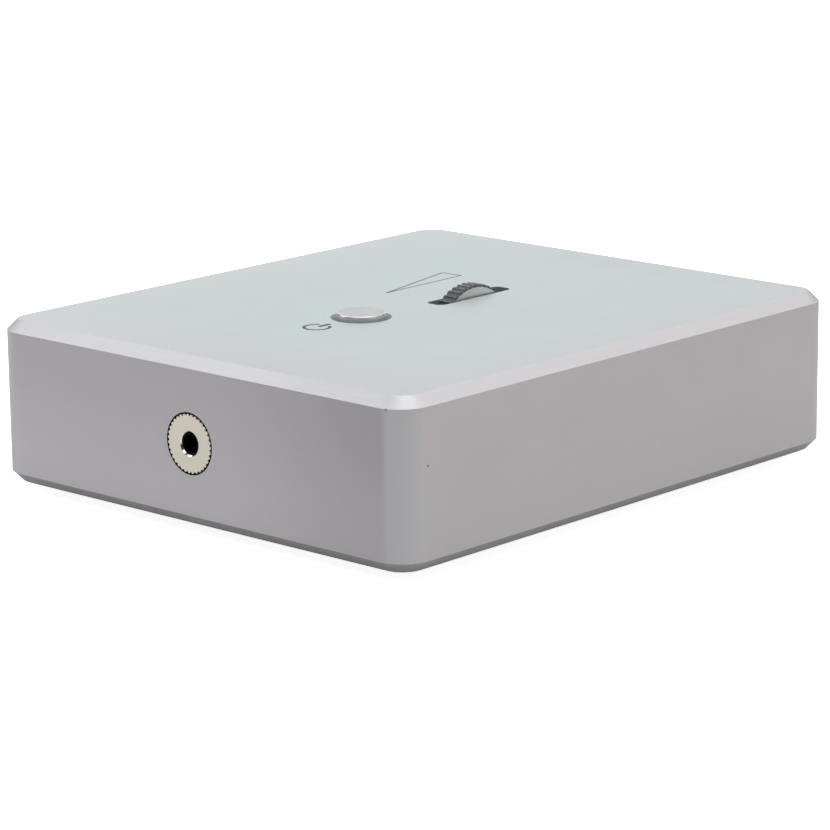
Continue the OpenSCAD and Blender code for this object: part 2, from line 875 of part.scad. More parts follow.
module volume_shaft() {
    shaft_x = wheel_side - wheel_t + wheel_recess + wheel_web + push;
    flat_l = wheel_side - shaft_x + wheel_to_collar / 2;
    shaft_l = pot_x + pot_t - pot_back_wall - 0.5 - shaft_x;
    color("#cfd1d2")
        translate([shaft_x, wheel_y, wheel_z])
            difference() {
                union() {
                    flatted_rod(shaft_d / 2, flat_l, shaft_flat);
                    translate([flat_l, 0, 0]) rod_x(shaft_d / 2, shaft_l - flat_l);
                }
                translate([-over, 0, 0]) rod_x(wheel_screw_d / 2 + push, wheel_screw_l + 0.5 + over);
            }
}

module volume_wheel_screw() {
    head_x = wheel_side - wheel_t + wheel_recess;
    cross_l = 2.4;
    cross_w = 0.4;
    cross_deep = 0.5;
    color("#8f9294")
        translate([head_x, wheel_y, wheel_z])
            difference() {
                union() {
                    translate([-wheel_screw_head_h, 0, 0]) rod_x(wheel_screw_head_d / 2, wheel_screw_head_h);
                    rod_x(wheel_screw_d / 2, wheel_web + wheel_screw_l);
                }
                for (a = [0, 90])
                    rotate([a, 0, 0])
                        translate([-wheel_screw_head_h - over, -cross_l / 2, -cross_w / 2])
                            cube([over + cross_deep, cross_l, cross_w]);
            }
}

module volume_pot_case() {
    color("#33475b")
        difference() {
            union() {
                translate([pot_x, wheel_y - pot_w / 2, wheel_z - pot_w / 2]) cube([pot_t, pot_w, pot_w]);
                translate([pot_x - pot_collar_t, wheel_y, wheel_z])
                    rod_x(pot_collar_d / 2, pot_collar_t + 0.5);
            }
            translate([pot_x - pot_collar_t - over, wheel_y, wheel_z])
                rod_x(shaft_d / 2 + running, pot_collar_t + pot_t - pot_back_wall + over);
        }
}

module volume_pot_terminals() {
    color("#c9ccd0")
        for (i = [-1 : 1])
            translate([riser_x, wheel_y + i * terminal_pitch, terminal_z])
                rod_x(terminal_r, board_t + 1.5, $fn = 24);
}

// Middle of one of the header's pins
function header_pin_y(i) = wheel_y + (i - (header_pins - 1) / 2) * header_pitch;

module volume_riser_board() {
    color("#1f5a3c")
        difference() {
            translate([riser_x, wheel_y - riser_l / 2, board_top])
                cube([board_t, riser_l, ceiling - pot_gap - board_top]);
            for (i = [-1 : 1])
                translate([riser_x - over, wheel_y + i * terminal_pitch, terminal_z])
                    rod_x(terminal_r + running, board_t + 2 * over, $fn = 24);
            for (i = [0 : header_pins - 1])
                translate([riser_x - over, header_pin_y(i), header_z])
                    rod_x(header_pin_r + running, board_t + 2 * over, $fn = 24);
        }
}

module volume_riser_header() {
    header_x = riser_x + board_t;
    color("#1a1a1c") {
        translate([header_x, wheel_y - header_pins * header_pitch / 2, board_top])
            cube([header_w, header_pins * header_pitch, header_w]);
        for (i = [0 : header_pins - 1])
            translate([riser_x - 0.8, header_pin_y(i), header_z])
                rod_x(header_pin_r, board_t + 1.3, $fn = 24);
    }
}

// Phono sockets

module socket_block(x) {
    color("#202124")
        translate([x, panel_in_y, axis_z])
            difference() {
                translate([0, -block_l / 2, -socket_axis_h]) box(block_w, block_l, block_h);
                for (side = [-1, 1])
                    translate([side * socket_pitch / 2, 0, 0]) {
                        translate([0, -shell_flange_t - push, 0])
                            rod_y(shell_flange_d / 2 + push, shell_flange_t + push + over);
                        translate([0, -insulator_tail - push, 0])
                            rod_y(insulator_r + push, insulator_tail + over);
                        translate([0, -block_l - over, 0]) rod_y(pin_r + push, block_l);
                    }
                translate([0, -block_screw_l - 1, block_screw_up])
                    rod_y(block_screw_r + push, block_screw_l + 1 + over);
            }
}

// A shell is a little thicker where it passes through the panel
module socket_shell(x, side) {
    root_l = shell_flange_t + panel_t;
    shell_l = shell_flange_t + shell_tip_y - panel_in_y;
    color("#d6b04c")
        translate([x + side * socket_pitch / 2, panel_in_y - shell_flange_t, axis_z])
            rotate([-90, 0, 0])
                rotate_extrude()
                    polygon([
                        [shell_r - shell_t, 0], [shell_flange_d / 2, 0],
                        [shell_flange_d / 2, shell_flange_t], [shell_root_r, shell_flange_t],
                        [shell_root_r, root_l], [shell_r, root_l],
                        [shell_r, shell_l - shell_edge], [shell_r - shell_edge, shell_l],
                        [shell_r - shell_t, shell_l]
                    ]);
}

module socket_insulator(x, side) {
    color(side < 0 ? "#f2f0ea" : "#c0262b")
        translate([x + side * socket_pitch / 2, panel_in_y - insulator_tail, axis_z])
            difference() {
                rod_y(insulator_r, insulator_tip_y - panel_in_y + insulator_tail);
                translate([0, contact_tip_y - contact_l - panel_in_y + insulator_tail - push, 0])
                    rod_y(contact_r + push, contact_l + 2 * over);
                translate([0, -over, 0]) rod_y(pin_r + push, insulator_tip_y - panel_in_y);
            }
}

module socket_contact(x, side) {
    root_y = contact_tip_y - contact_l;
    color("#d6b04c")
        translate([x + side * socket_pitch / 2, root_y, axis_z])
            difference() {
                union() {
                    rod_y(contact_r, contact_l);
                    bent_leg(pin_r, root_y - panel_in_y + block_l + pin_behind, socket_axis_h);
                }
                translate([0, contact_floor, 0]) rod_y(contact_bore_d / 2, contact_l);
            }
}

// Ground terminal

module ground_stud() {
    color("#d6b04c")
        translate([ground_x, 0, axis_z]) {
            translate([0, panel_in_y - stud_tail, 0]) rod_y(stud_d / 2, stud_tip_y - panel_in_y + stud_tail);
            translate([0, panel_out_y, 0]) rod_y(stud_flange_d / 2, stud_flange_t);
        }
}

module ground_inner_nut() {
    color("#c9ccd0")
        translate([ground_x, panel_in_y, axis_z])
            rotate([90, 0, 0])
                difference() {
                    hexagon(inner_nut_af, inner_nut_t);
                    translate([0, 0, -over]) cylinder(r = stud_d / 2 + push, h = inner_nut_t + 2 * over);
                }
}

module ground_washer() {
    color("#c9ccd0")
        translate([ground_x, washer_y, axis_z])
            difference() {
                rod_y(stud_flange_d / 2 + washer_rim, washer_t);
                translate([0, -over, 0]) rod_y(stud_d / 2 + running, washer_t + 2 * over);
            }
}

module ground_thumb_nut() {
    color("#d6b04c")
        translate([ground_x, thumb_nut_y, axis_z])
            difference() {
                union() {
                    rod_y(thumb_nut_d / 2 - 2 * thumb_tooth_h, thumb_nut_t);
                    translate([0, thumb_collar_t, 0])
                        rotate([-90, 0, 0])
                            linear_extrude(height = thumb_nut_t - thumb_collar_t)
                                toothed_outline(thumb_nut_d / 2, thumb_tooth_h, thumb_teeth);
                }
                translate([0, -over, 0]) rod_y(stud_d / 2 + running, thumb_nut_t + 2 * over);
            }
}

// Low-voltage inlet

module dc_inlet_body() {
    color("#202124")
        translate([inlet_x, panel_in_y, axis_z])
            difference() {
                translate([0, -inlet_l / 2, -socket_axis_h]) box(inlet_w, inlet_l, inlet_h);
                translate([0, -inlet_bore_l, 0]) rod_y(inlet_bore_d / 2, inlet_bore_l + over);
                translate([0, slip - inlet_bore_l, 0])
                    bent_leg(pin_r + push, inlet_leg_back + slip, socket_axis_h + over);
            }
}

// The pin's leg turns down inside the body
module dc_inlet_pin() {
    color("#c9ccd0")
        translate([inlet_x, panel_in_y - inlet_bore_l, axis_z]) {
            rod_y(inlet_pin_d / 2, inlet_bore_l - inlet_pin_back);
            translate([0, slip, 0]) bent_leg(pin_r, inlet_leg_back + slip, socket_axis_h);
        }
}

// Gain selector

module selector_case() {
    inner_l = selector_l - 2 * selector_wall;
    inner_h = selector_h - 2 * selector_wall;
    slot_h = selector_knob + 2 * knob_gap;
    slot_w = selector_knob + selector_travel + 2 * knob_gap;
    color("#aeb2b5")
        translate([selector_x, panel_in_y - selector_l / 2, axis_z]) {
            difference() {
                translate([0, 0, -selector_h / 2]) box(selector_w, selector_l, selector_h);
                translate([0, 0, -inner_h / 2]) box(selector_w - 2 * selector_wall, inner_l, inner_h);
                translate([0, selector_l / 2, -slot_h / 2])
                    box(slot_w, 2 * selector_wall + over, slot_h);
            }
            for (sx = [-1, 1], sy = [-1, 1])
                translate([sx * (selector_w / 2 - selector_leg),
                           sy * (selector_l / 2 - selector_leg), -socket_axis_h])
                    box(selector_leg, selector_leg, socket_axis_h - selector_h / 2 + selector_wall / 2);
        }
}

module selector_slider() {
    inner_l = selector_l - 2 * selector_wall - 2 * slip;
    inner_h = selector_h - 2 * selector_wall - 2 * slip;
    color("#1a1a1c")
        translate([selector_x - selector_travel / 2, panel_in_y - selector_l / 2, axis_z]) {
            translate([0, 0, -inner_h / 2]) box(selector_base_w, inner_l, inner_h);
            translate([-selector_knob / 2, 0, -selector_knob / 2])
                cube([selector_knob, selector_l / 2 + panel_t + knob_out, selector_knob]);
        }
}

// Parts on the board

// A chip with four legs a side
module chip() {
    leg_w = 0.6;
    leg_t = 0.3;
    foot_l = 1.2;
    foot_w = 0.7;
    notch_r = 0.8;
    notch_deep = 0.4;
    leg_h = chip_lift + chip_h / 2;
    translate([0, 0, chip_lift])
        difference() {
            box(chip_l, chip_w, chip_h);
            translate([-chip_l / 2, 0, chip_h - notch_deep]) cylinder(r = notch_r, h = over, $fn = 24);
        }
    for (i = [0 : 3], side = [-1, 1])
        translate([(i - 1.5) * chip_pitch, side * (chip_w + leg_w) / 2, 0]) {
            box(leg_w, leg_t, leg_h);
            translate([0, -side * leg_t, leg_h - leg_t]) box(foot_l, foot_w, leg_t);
        }
}

// An upright can with a groove above its base and a rolled rim at its top
module can(d, h) {
    base_edge = 0.3;
    groove_z = 1.6;
    groove_w = 0.4;
    groove_deep = 0.35;
    rim = 0.5;
    rim_w = 1.1;
    sunk = 0.2;
    r = d / 2;
    rotate_extrude()
        polygon([
            [0, 0], [r - base_edge, 0], [r, base_edge],
            [r, groove_z - groove_w], [r - groove_deep, groove_z], [r, groove_z + groove_w],
            [r, h - rim], [r - rim, h], [r - rim_w, h], [r - rim_w - sunk, h - sunk], [0, h - sunk]
        ]);
}

// An upright moulded box with two broken upper edges
module moulded_box(w, d, h) {
    e = 0.5;
    rotate([90, 0, 0])
        linear_extrude(height = d, center = true)
            polygon([
                [-w / 2, 0], [w / 2, 0], [w / 2, h - e],
                [w / 2 - e, h], [-w / 2 + e, h], [-w / 2, h - e]
            ]);
}

// A resistor lying across, with a thicker band at each end and its two legs
module resistor() {
    band_w = 1.2;
    half = resistor_span / 2;
    translate([-resistor_l / 2, 0, resistor_up]) rod_x(resistor_r, resistor_l, $fn = 32);
    for (x = [-resistor_l / 2, resistor_l / 2 - band_w])
        translate([x, 0, resistor_up]) rod_x(resistor_cap_r, band_w, $fn = 32);
    translate([-half, 0, resistor_up]) rod_x(resistor_leg_r, resistor_span, $fn = 24);
    for (side = [-1, 1])
        translate([side * half, 0, 0]) {
            translate([0, 0, resistor_up]) sphere(resistor_leg_r, $fn = 24);
            cylinder(r = resistor_leg_r, h = resistor_up, $fn = 24);
        }
}

// A regulator standing on its three legs, with a metal tab in front of it
module regulator() {
    leg_w = 0.8;
    leg_t = 0.5;
    tab_y = -(regulator_d + tab_t) / 2 + slip;
    difference() {
        translate([0, tab_y, regulator_lift]) box(regulator_w, tab_t, tab_h);
        translate([0, tab_y - over, regulator_lift + (regulator_h + tab_h) / 2])
            rod_y(tab_hole_r, 2 * over);
    }
    translate([0, 0, regulator_lift]) box(regulator_w, regulator_d, regulator_h);
    for (i = [-1 : 1])
        translate([i * chip_pitch, 0, 0]) box(leg_w, leg_t, regulator_lift + leg_t);
}

module input_amplifiers() {
    color("#1d1d1f")
        for (i = [0, 1])
            translate([left_x + 2 * chip_row_x - 2 * chip_w + i * chip_row_x, behind_blocks_y, board_top])
                rotate([0, 0, 90]) chip();
}

module headphone_amplifier() {
    color("#1d1d1f")
        for (side = [-1, 1])
            translate([side * (jack_w / 2 + chip_w + edge_gap), board_front_y + chips_from_front, board_top])
                rotate([0, 0, 90]) chip();
}

module equaliser_capacitors() {
    color("#b8322c")
        for (i = [0 : 3])
            translate([left_x + equaliser_w / 2 + equaliser_pitch * i, equaliser_y, board_top])
                moulded_box(equaliser_w, equaliser_d, equaliser_h);
}

module coupling_capacitors() {
    color("#9c2b26")
        for (i = [0, 1])
            translate([left_x + coupling_w / 2, coupling_y + coupling_pitch * i, board_top])
                moulded_box(coupling_w, coupling_d, coupling_h);
}

module supply_capacitors() {
    color("#22324a")
        for (i = [0, 1], j = [0, 1])
            translate([left_x + supply_can_d / 2 + can_pitch * i, cans_y + can_pitch * j, board_top])
                can(supply_can_d, supply_can_h);
}

module reservoir_capacitors() {
    color("#22324a")
        for (i = [0 : 2])
            translate([reservoir_x, reservoir_y + reservoir_pitch * i, board_top])
                can(reservoir_d, reservoir_h);
}

module voltage_regulators() {
    color("#2b2b2d")
        for (i = [0, 1])
            translate([board_half - regulator_in, regulators_y + regulator_pitch * i, board_top])
                regulator();
}

module muting_relay() {
    color("#e2ddcf")
        translate([output_x, behind_blocks_y, board_top]) moulded_box(relay_w, relay_d, relay_h);
}

module filter_coil() {
    waist_r = coil_r - coil_waist;
    color("#3b3632")
        translate([selector_x, behind_blocks_y, board_top])
            rotate_extrude()
                polygon([
                    [0, 0], [coil_r, 0], [coil_r, coil_flange], [waist_r, coil_flange + coil_waist / 2],
                    [waist_r, coil_h - coil_flange - coil_waist / 2], [coil_r, coil_h - coil_flange],
                    [coil_r, coil_h], [0, coil_h]
                ]);
}

// One column beside the power switch
module resistors() {
    color("#6f8fa8")
        for (i = [0 : 9])
            translate([resistors_x, board_front_y + resistors_from_front + resistor_pitch * i, board_top])
                resistor();
}

housing();
base_plate();
rear_panel();
base_screws();
standoffs();
foot(-1, -1);  // foot_front_left
foot(1, -1);  // foot_front_right
foot(-1, 1);  // foot_rear_left
foot(1, 1);  // foot_rear_right
main_board();
headphone_jack_body();
headphone_jack_sleeve();
headphone_contacts();
headphone_ring_nut();
power_button_cap();
power_switch_plunger();
power_switch_spring();
power_switch_case();
volume_wheel();
volume_shaft();
volume_wheel_screw();
volume_pot_case();
volume_pot_terminals();
volume_riser_board();
volume_riser_header();
socket_block(input_x);  // input_socket_block
socket_block(output_x);  // output_socket_block
socket_shell(input_x, -1);  // input_left_shell
socket_shell(input_x, 1);  // input_right_shell
socket_shell(output_x, -1);  // output_left_shell
socket_shell(output_x, 1);  // output_right_shell
socket_insulator(input_x, -1);  // input_left_insulator
socket_insulator(input_x, 1);  // input_right_insulator
socket_insulator(output_x, -1);  // output_left_insulator
socket_insulator(output_x, 1);  // output_right_insulator
socket_contact(input_x, -1);  // input_left_contact
socket_contact(input_x, 1);  // input_right_contact
socket_contact(output_x, -1);  // output_left_contact
socket_contact(output_x, 1);  // output_right_contact
panel_screws();
ground_stud();
ground_inner_nut();
ground_washer();
ground_thumb_nut();
dc_inlet_body();
dc_inlet_pin();
selector_case();
selector_slider();
input_amplifiers();
headphone_amplifier();
equaliser_capacitors();
coupling_capacitors();
supply_capacitors();
reservoir_capacitors();
voltage_regulators();
muting_relay();
filter_coil();
resistors();
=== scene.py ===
# %% [markdown]
# # A compact phono preamplifier, dressed for the camera
# The object is a small box milled from one block of aluminium. A headphone jack sits in its front,
# and a round power button and a fluted volume wheel sit in its top. The shapes come from the packed
# CAD model. This lesson gives every piece the finish that it has in a maker's hands: blasted and
# anodised aluminium, nickel, gold plate, moulded plastic, rubber and a green circuit board.

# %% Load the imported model
import json
import math

import bpy
from mathutils import Matrix, Vector


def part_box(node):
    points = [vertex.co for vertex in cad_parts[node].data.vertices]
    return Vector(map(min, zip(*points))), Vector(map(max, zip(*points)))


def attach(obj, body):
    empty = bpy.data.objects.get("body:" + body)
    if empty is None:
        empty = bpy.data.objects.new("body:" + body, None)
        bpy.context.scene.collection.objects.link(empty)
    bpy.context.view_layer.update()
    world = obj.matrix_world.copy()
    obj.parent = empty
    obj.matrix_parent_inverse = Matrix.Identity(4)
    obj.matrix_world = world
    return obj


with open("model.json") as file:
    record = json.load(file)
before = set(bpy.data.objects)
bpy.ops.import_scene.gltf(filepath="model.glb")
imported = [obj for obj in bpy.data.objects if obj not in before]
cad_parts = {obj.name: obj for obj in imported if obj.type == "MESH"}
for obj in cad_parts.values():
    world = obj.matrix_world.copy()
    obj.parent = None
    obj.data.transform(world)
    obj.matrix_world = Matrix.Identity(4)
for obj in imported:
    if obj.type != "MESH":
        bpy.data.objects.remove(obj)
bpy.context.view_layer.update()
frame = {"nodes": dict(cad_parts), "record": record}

NODES = frame["nodes"]
MM = 0.001
for plain in list(bpy.data.materials):
    bpy.data.materials.remove(plain)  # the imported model's flat colours give way to the finishes below
print("pieces in the model:", len(NODES))

# %% [markdown]
# ## The camera
# A small flat box looks best through a long lens from a little above, because its upright edges then
# stay almost parallel. The camera could be aimed with a constraint. Here its matrix is built from
# three angles and a place, because then its small roll is exact as well.

# %% Place the camera
CAMERA_PLACE = Vector((444.0, -486.82, 170.82)) * MM
CAMERA_ROUND = math.radians(42.673)
CAMERA_ABOVE = math.radians(13.669)
CAMERA_ROLL = math.radians(-0.625)
LENS_MM = 153.79
SENSOR_MM = 36
NEAREST_SEEN = 10 * MM


def camera_matrix(place, around, above, roll):
    """The matrix of a camera that looks back along its own +Z."""
    back = Vector((math.sin(around) * math.cos(above), -math.cos(around) * math.cos(above), math.sin(above)))
    right = Vector((0, 0, 1)).cross(back).normalized()
    up = back.cross(right)
    tilt = Matrix.Rotation(roll, 3, "Z")
    turn = Matrix((right, up, back)).transposed() @ tilt
    return Matrix.Translation(place) @ turn.to_4x4()


camera_data = bpy.data.cameras.new("camera")
camera_data.lens = LENS_MM
camera_data.sensor_width = SENSOR_MM
camera_data.clip_start = NEAREST_SEEN
camera = bpy.data.objects.new("camera", camera_data)
bpy.context.scene.collection.objects.link(camera)
camera.matrix_world = camera_matrix(CAMERA_PLACE, CAMERA_ROUND, CAMERA_ABOVE, CAMERA_ROLL)
bpy.context.scene.camera = camera
print("camera stands", round(camera.location.length * 1000), "mm from the object's base")

# %% [markdown]
# ## Small helpers for node trees
# A shader is a graph of nodes. Making and linking each node by hand takes four lines, so a helper
# does it in one: `add` makes a node and fills its sockets with plain values or links. `calc` does the
# same for arithmetic with numbers, and `calc_vector` for places and directions. The other helpers put
# together the small graphs that most finishes need.

# %% Make and link nodes
def fill(tree, socket, value):
    """Links another node's output to a socket, or sets the socket's own value."""
    if isinstance(value, bpy.types.NodeSocket):
        tree.links.new(value, socket)
    else:
        socket.default_value = value


def add(tree, kind, sockets=None, **settings):
    """Adds a shader node. A socket takes a plain value, or another node's output to link."""
    node = tree.nodes.new("ShaderNode" + kind)
    for name, value in settings.items():
        setattr(node, name, value)
    for name, value in (sockets or {}).items():
        fill(tree, node.inputs[name], value)
    return node


def calc(tree, operation, *values):
    """Adds one step of arithmetic and returns its result."""
    return add(tree, "Math", dict(enumerate(values)), operation=operation).outputs[0]


def calc_vector(tree, operation, *values):
    """Adds one step of arithmetic with places or directions. Its result may be a plain number."""
    node = add(tree, "VectorMath", dict(enumerate(values)), operation=operation)
    return next(output for output in node.outputs if output.enabled)


def scaled(tree, values, factor):
    """A colour or a direction times a number."""
    return add(tree, "VectorMath", {0: values, "Scale": factor}, operation="SCALE").outputs[0]


# %% Small graphs
def own_place(tree):
    """A place on a piece, in the piece's own coordinates, which go along when the piece moves."""
    return add(tree, "TexCoord").outputs["Object"]


def noise(tree, place, scale, detail, roughness=0.5):
    """A soft noise, with features that are about as wide as one divided by its scale."""
    sockets = {"Vector": place, "Scale": scale, "Detail": detail, "Roughness": roughness}
    return add(tree, "TexNoise", sockets).outputs[0]


def between(tree, value, low, high, to_low=0.0, to_high=1.0):
    """Goes smoothly from to_low to to_high while a value goes from low to high, and no further."""
    sockets = {"Value": value, "From Min": low, "From Max": high, "To Min": to_low, "To Max": to_high}
    return add(tree, "MapRange", sockets, interpolation_type="SMOOTHSTEP").outputs[0]


def both(tree, *masks):
    """A mask that is on only where all the given masks are on."""
    product = masks[0]
    for mask in masks[1:]:
        product = calc(tree, "MULTIPLY", product, mask)
    return product


def blend_colours(tree, factor, first, second):
    """Mixes two colours by a factor that changes over the surface."""
    mix = add(tree, "Mix", data_type="RGBA")
    for name, value in {"Factor": factor, "A": first, "B": second}.items():
        fill(tree, next(socket for socket in mix.inputs if socket.name == name and socket.enabled), value)
    return next(socket for socket in mix.outputs if socket.enabled)


# %% Plain colours and a blank material
def grey(value, warmth=0.0):
    """A grey with a little warmth, or coolness below zero."""
    return (value * (1 + warmth), value, value * (1 - warmth), 1.0)


def paler(colour, factor, lift=0.0):
    """A lighter tone of a colour, which never goes beyond white."""
    return tuple(min(1.0, part * factor + lift) for part in colour[:3]) + (1.0,)


def blank_material(name):
    """A new material without nodes, and its tree."""
    material = bpy.data.materials.new(name)
    material.use_nodes = True
    material.node_tree.nodes.clear()
    return material, material.node_tree


# %% [markdown]
# ## The floor
# The box stands on a sweep of white paper that is lit until it looks pure white. A stronger light
# could do that, but it would wash out the box as well. So the paper glows where the camera sees it
# directly, and is plain paper for the light that it throws back at the walls of the box.

# %% Floor
FLOOR_SIZE = 6.0
FLOOR_GLOW = 0.9  # the sweep is overexposed, so the shadow on it stays faint
PAPER_DARK, PAPER_LIGHT = grey(0.86), grey(0.9)
PAPER_FIBRES = 900.0


def make_floor():
    mesh = bpy.data.meshes.new("floor")
    half = FLOOR_SIZE / 2
    corners = [(-half, -half, 0), (half, -half, 0), (half, half, 0), (-half, half, 0)]
    mesh.from_pydata(corners, [], [(0, 1, 2, 3)])
    floor = bpy.data.objects.new("floor", mesh)
    bpy.context.scene.collection.objects.link(floor)
    material, tree = blank_material("floor_paper")
    fibre = noise(tree, own_place(tree), PAPER_FIBRES, detail=3.0)
    colour = blend_colours(tree, fibre, PAPER_DARK, PAPER_LIGHT)
    paper = add(tree, "BsdfDiffuse", {"Color": colour}).outputs[0]
    glow = add(tree, "Emission", {"Color": grey(1.0), "Strength": FLOOR_GLOW}).outputs[0]
    seen = add(tree, "LightPath").outputs["Is Camera Ray"]
    bright_paper = add(tree, "AddShader", {0: paper, 1: glow}).outputs[0]
    lit = add(tree, "MixShader", {0: seen, 1: paper, 2: bright_paper})
    add(tree, "OutputMaterial", {"Surface": lit.outputs[0]})
    mesh.materials.append(material)


make_floor()
print("floor:", FLOOR_SIZE, "m wide")

# %% [markdown]
# ## The light
# A world of one colour would light the box too, but it would leave every face equally bright. Metal
# shows what it faces: the top mirrors the far side of the studio, the walls mirror the floor, and the
# chamfers mirror the lights overhead. So each group of faces gets a soft light of its own.

# %% Studio lights
LIGHT_AIM = Vector((0, 0, 0.02))
LIGHTS = {
    # name: (place, width, height, watts, colour)
    "overhead": ((0.0, 0.0, 1.1), 1.2, 1.2, 6.46, (0.94, 0.93, 1.0)),
    "corner_side": ((0.40, 0.02, 1.0), 0.8, 0.8, 3.3, (0.955, 0.985, 1.0)),
    "far_side": ((-0.95, 1.03, 0.55), 1.4, 0.8, 5.42, (0.906, 1.0, 0.944)),
    "right_side": ((1.2, 0.3, 0.45), 0.9, 0.6, 1.73, (1.0, 1.0, 0.85)),
    "left_high": ((-0.72, -0.26, 0.80), 0.6, 0.6, 3.15, (0.96, 0.955, 1.0)),
    "back_high": ((0.26, 0.79, 0.75), 0.6, 0.6, 2.0, (1.0, 0.91, 0.94)),
    "left_near": ((-0.33, -0.34, 0.09), 0.16, 0.12, 0.09, (1.0, 0.92, 0.95)),
    "glint": ((0.17, -0.74, 0.80), 0.3, 0.3, 1.37, (1.0, 0.96, 1.0)),
}
WORLD_COLOUR, WORLD_STRENGTH = (0.95, 0.97, 1.0, 1.0), 0.02


def soft_light(name, place, width, height, watts, colour):
    data = bpy.data.lights.new(name, "AREA")
    data.shape = "RECTANGLE"
    data.size, data.size_y = width, height
    data.energy = watts
    data.color = colour
    lamp = bpy.data.objects.new(name, data)
    bpy.context.scene.collection.objects.link(lamp)
    lamp.location = place
    lamp.rotation_euler = (Vector(place) - LIGHT_AIM).to_track_quat("Z", "Y").to_euler()


for name, values in LIGHTS.items():
    soft_light(name, *values)

world = bpy.data.worlds.new("studio")
bpy.context.scene.world = world
world.use_nodes = True
background = world.node_tree.nodes["Background"]
background.inputs["Color"].default_value = WORLD_COLOUR
background.inputs["Strength"].default_value = WORLD_STRENGTH
bpy.context.scene.view_settings.view_transform = "Standard"
print("lights:", ", ".join(LIGHTS))

# %% [markdown]
# ## Effects that many finishes share
# Blasting leaves a fine grain, handling rounds and brightens edges, and a lathe leaves rings. These
# effects could be copied into each material, but then a change would have to be made many times. Each
# one is a node group instead. It gives out only masks and heights, and every material places it with
# its own sizes.

# %% Make and place a node group
FLOAT, VECTOR = "NodeSocketFloat", "NodeSocketVector"


def new_group(name, inputs, outputs):
    """A shader group with named sockets: inputs map a name to its socket kind and its value."""
    group = bpy.data.node_groups.new(name, "ShaderNodeTree")
    for socket_name, (kind, value) in inputs.items():
        socket = group.interface.new_socket(socket_name, in_out="INPUT", socket_type=kind)
        socket.default_value = value
    for socket_name in outputs:
        group.interface.new_socket(socket_name, in_out="OUTPUT", socket_type=FLOAT)
    print("group", name, "takes", ", ".join(inputs), "and gives", ", ".join(outputs))
    return group, group.nodes.new("NodeGroupInput").outputs, group.nodes.new("NodeGroupOutput").inputs


def use(tree, group, **sockets):
    """Places a group in a material, with that material's own values."""
    node = add(tree, "Group", node_tree=group)
    for name, value in sockets.items():
        fill(tree, node.inputs[name.replace("_", " ").capitalize()], value)
    return node.outputs


def one_over(tree, size):
    """The scale at which a texture's features are as wide as a size."""
    return calc(tree, "DIVIDE", 1.0, size)


# %% [markdown]
# ### Grain
# Glass beads leave dimples on metal, and a mould leaves its own texture on plastic. Beads by the
# thousand could be pressed into a mesh, but they are too small to be seen one by one. A fine noise
# gives the same soft sheen as relief, and a second one, much wider, gives the faint clouds.

# %% Group: grain of a blasted or moulded skin
grain, given, result = new_group(
    "grain", {"Size": (FLOAT, 0.15 * MM), "Cloud size": (FLOAT, 9 * MM)}, ("Height", "Cloud"))
position = own_place(grain)
fine = noise(grain, position, one_over(grain, given["Size"]), detail=2.0, roughness=0.6)
cloud = noise(grain, position, one_over(grain, given["Cloud size"]), detail=5.0, roughness=0.55)
grain.links.new(fine, result["Height"])
grain.links.new(between(grain, cloud, 0.3, 0.7), result["Cloud"])

# %% [markdown]
# ### Worn edges
# An edge that is often touched loses its skin first. The wear could be painted by hand on each piece.
# A bevel node finds the edges by itself instead: it gives the direction that a rounded edge would
# face, and where that disagrees with the flat surface there is an edge. A noise breaks the wear up.

# %% Group: worn edges
BEVEL_SAMPLES = 4
UNWORN_AGREEMENT, WORN_AGREEMENT = 0.995, 0.93
LEAST_WEAR = 0.35  # what is left of the wear where the noise is low

worn_edges, given, result = new_group(
    "worn_edges", {"Width": (FLOAT, 0.25 * MM), "Break size": (FLOAT, 2 * MM)}, ("Mask",))
rounded = add(worn_edges, "Bevel", {"Radius": given["Width"]}, samples=BEVEL_SAMPLES).outputs[0]
flat = add(worn_edges, "NewGeometry").outputs["Normal"]
edge = between(
    worn_edges, calc_vector(worn_edges, "DOT_PRODUCT", rounded, flat), UNWORN_AGREEMENT, WORN_AGREEMENT)
patches = noise(worn_edges, own_place(worn_edges), one_over(worn_edges, given["Break size"]), detail=4.0)
worn = both(worn_edges, edge, between(worn_edges, patches, 0.3, 0.65, LEAST_WEAR, 1.0))
worn_edges.links.new(worn, result["Mask"])

# %% [markdown]
# ### Round pieces
# A round piece differs with the distance from its axis and with the way along it: a rim from a side
# face, a mouth from a face, a wall from a top. It could be cut into faces with a material each. This
# group measures both lengths in the piece's own coordinates instead, and masks tell the parts apart.
# A lathe's rings come from the same distance. It picks a value from a noise of one dimension, so the
# value is the same all round.

# %% Group: place round an axis
round_axis, given, result = new_group(
    "round_axis", {"Centre": (VECTOR, (0, 0, 0)), "Axis": (VECTOR, (0, 0, 1))}, ("Distance", "Along"))
arm = calc_vector(round_axis, "SUBTRACT", own_place(round_axis), given["Centre"])
cross = calc_vector(round_axis, "CROSS_PRODUCT", arm, given["Axis"])
round_axis.links.new(calc_vector(round_axis, "LENGTH", cross), result["Distance"])
round_axis.links.new(calc_vector(round_axis, "DOT_PRODUCT", arm, given["Axis"]), result["Along"])

# %% Group: rings left by a lathe
lathe_rings, given, result = new_group(
    "lathe_rings",
    {"Centre": (VECTOR, (0, 0, 0)), "Axis": (VECTOR, (0, 0, 1)), "Pitch": (FLOAT, 0.12 * MM)}, ("Height",))
radius = use(lathe_rings, round_axis, centre=given["Centre"], axis=given["Axis"])["Distance"]
turns = calc(lathe_rings, "DIVIDE", radius, given["Pitch"])
ring = add(lathe_rings, "TexNoise", {"W": turns, "Scale": 1.0, "Detail": 1.0}, noise_dimensions="1D")
lathe_rings.links.new(ring.outputs[0], result["Height"])

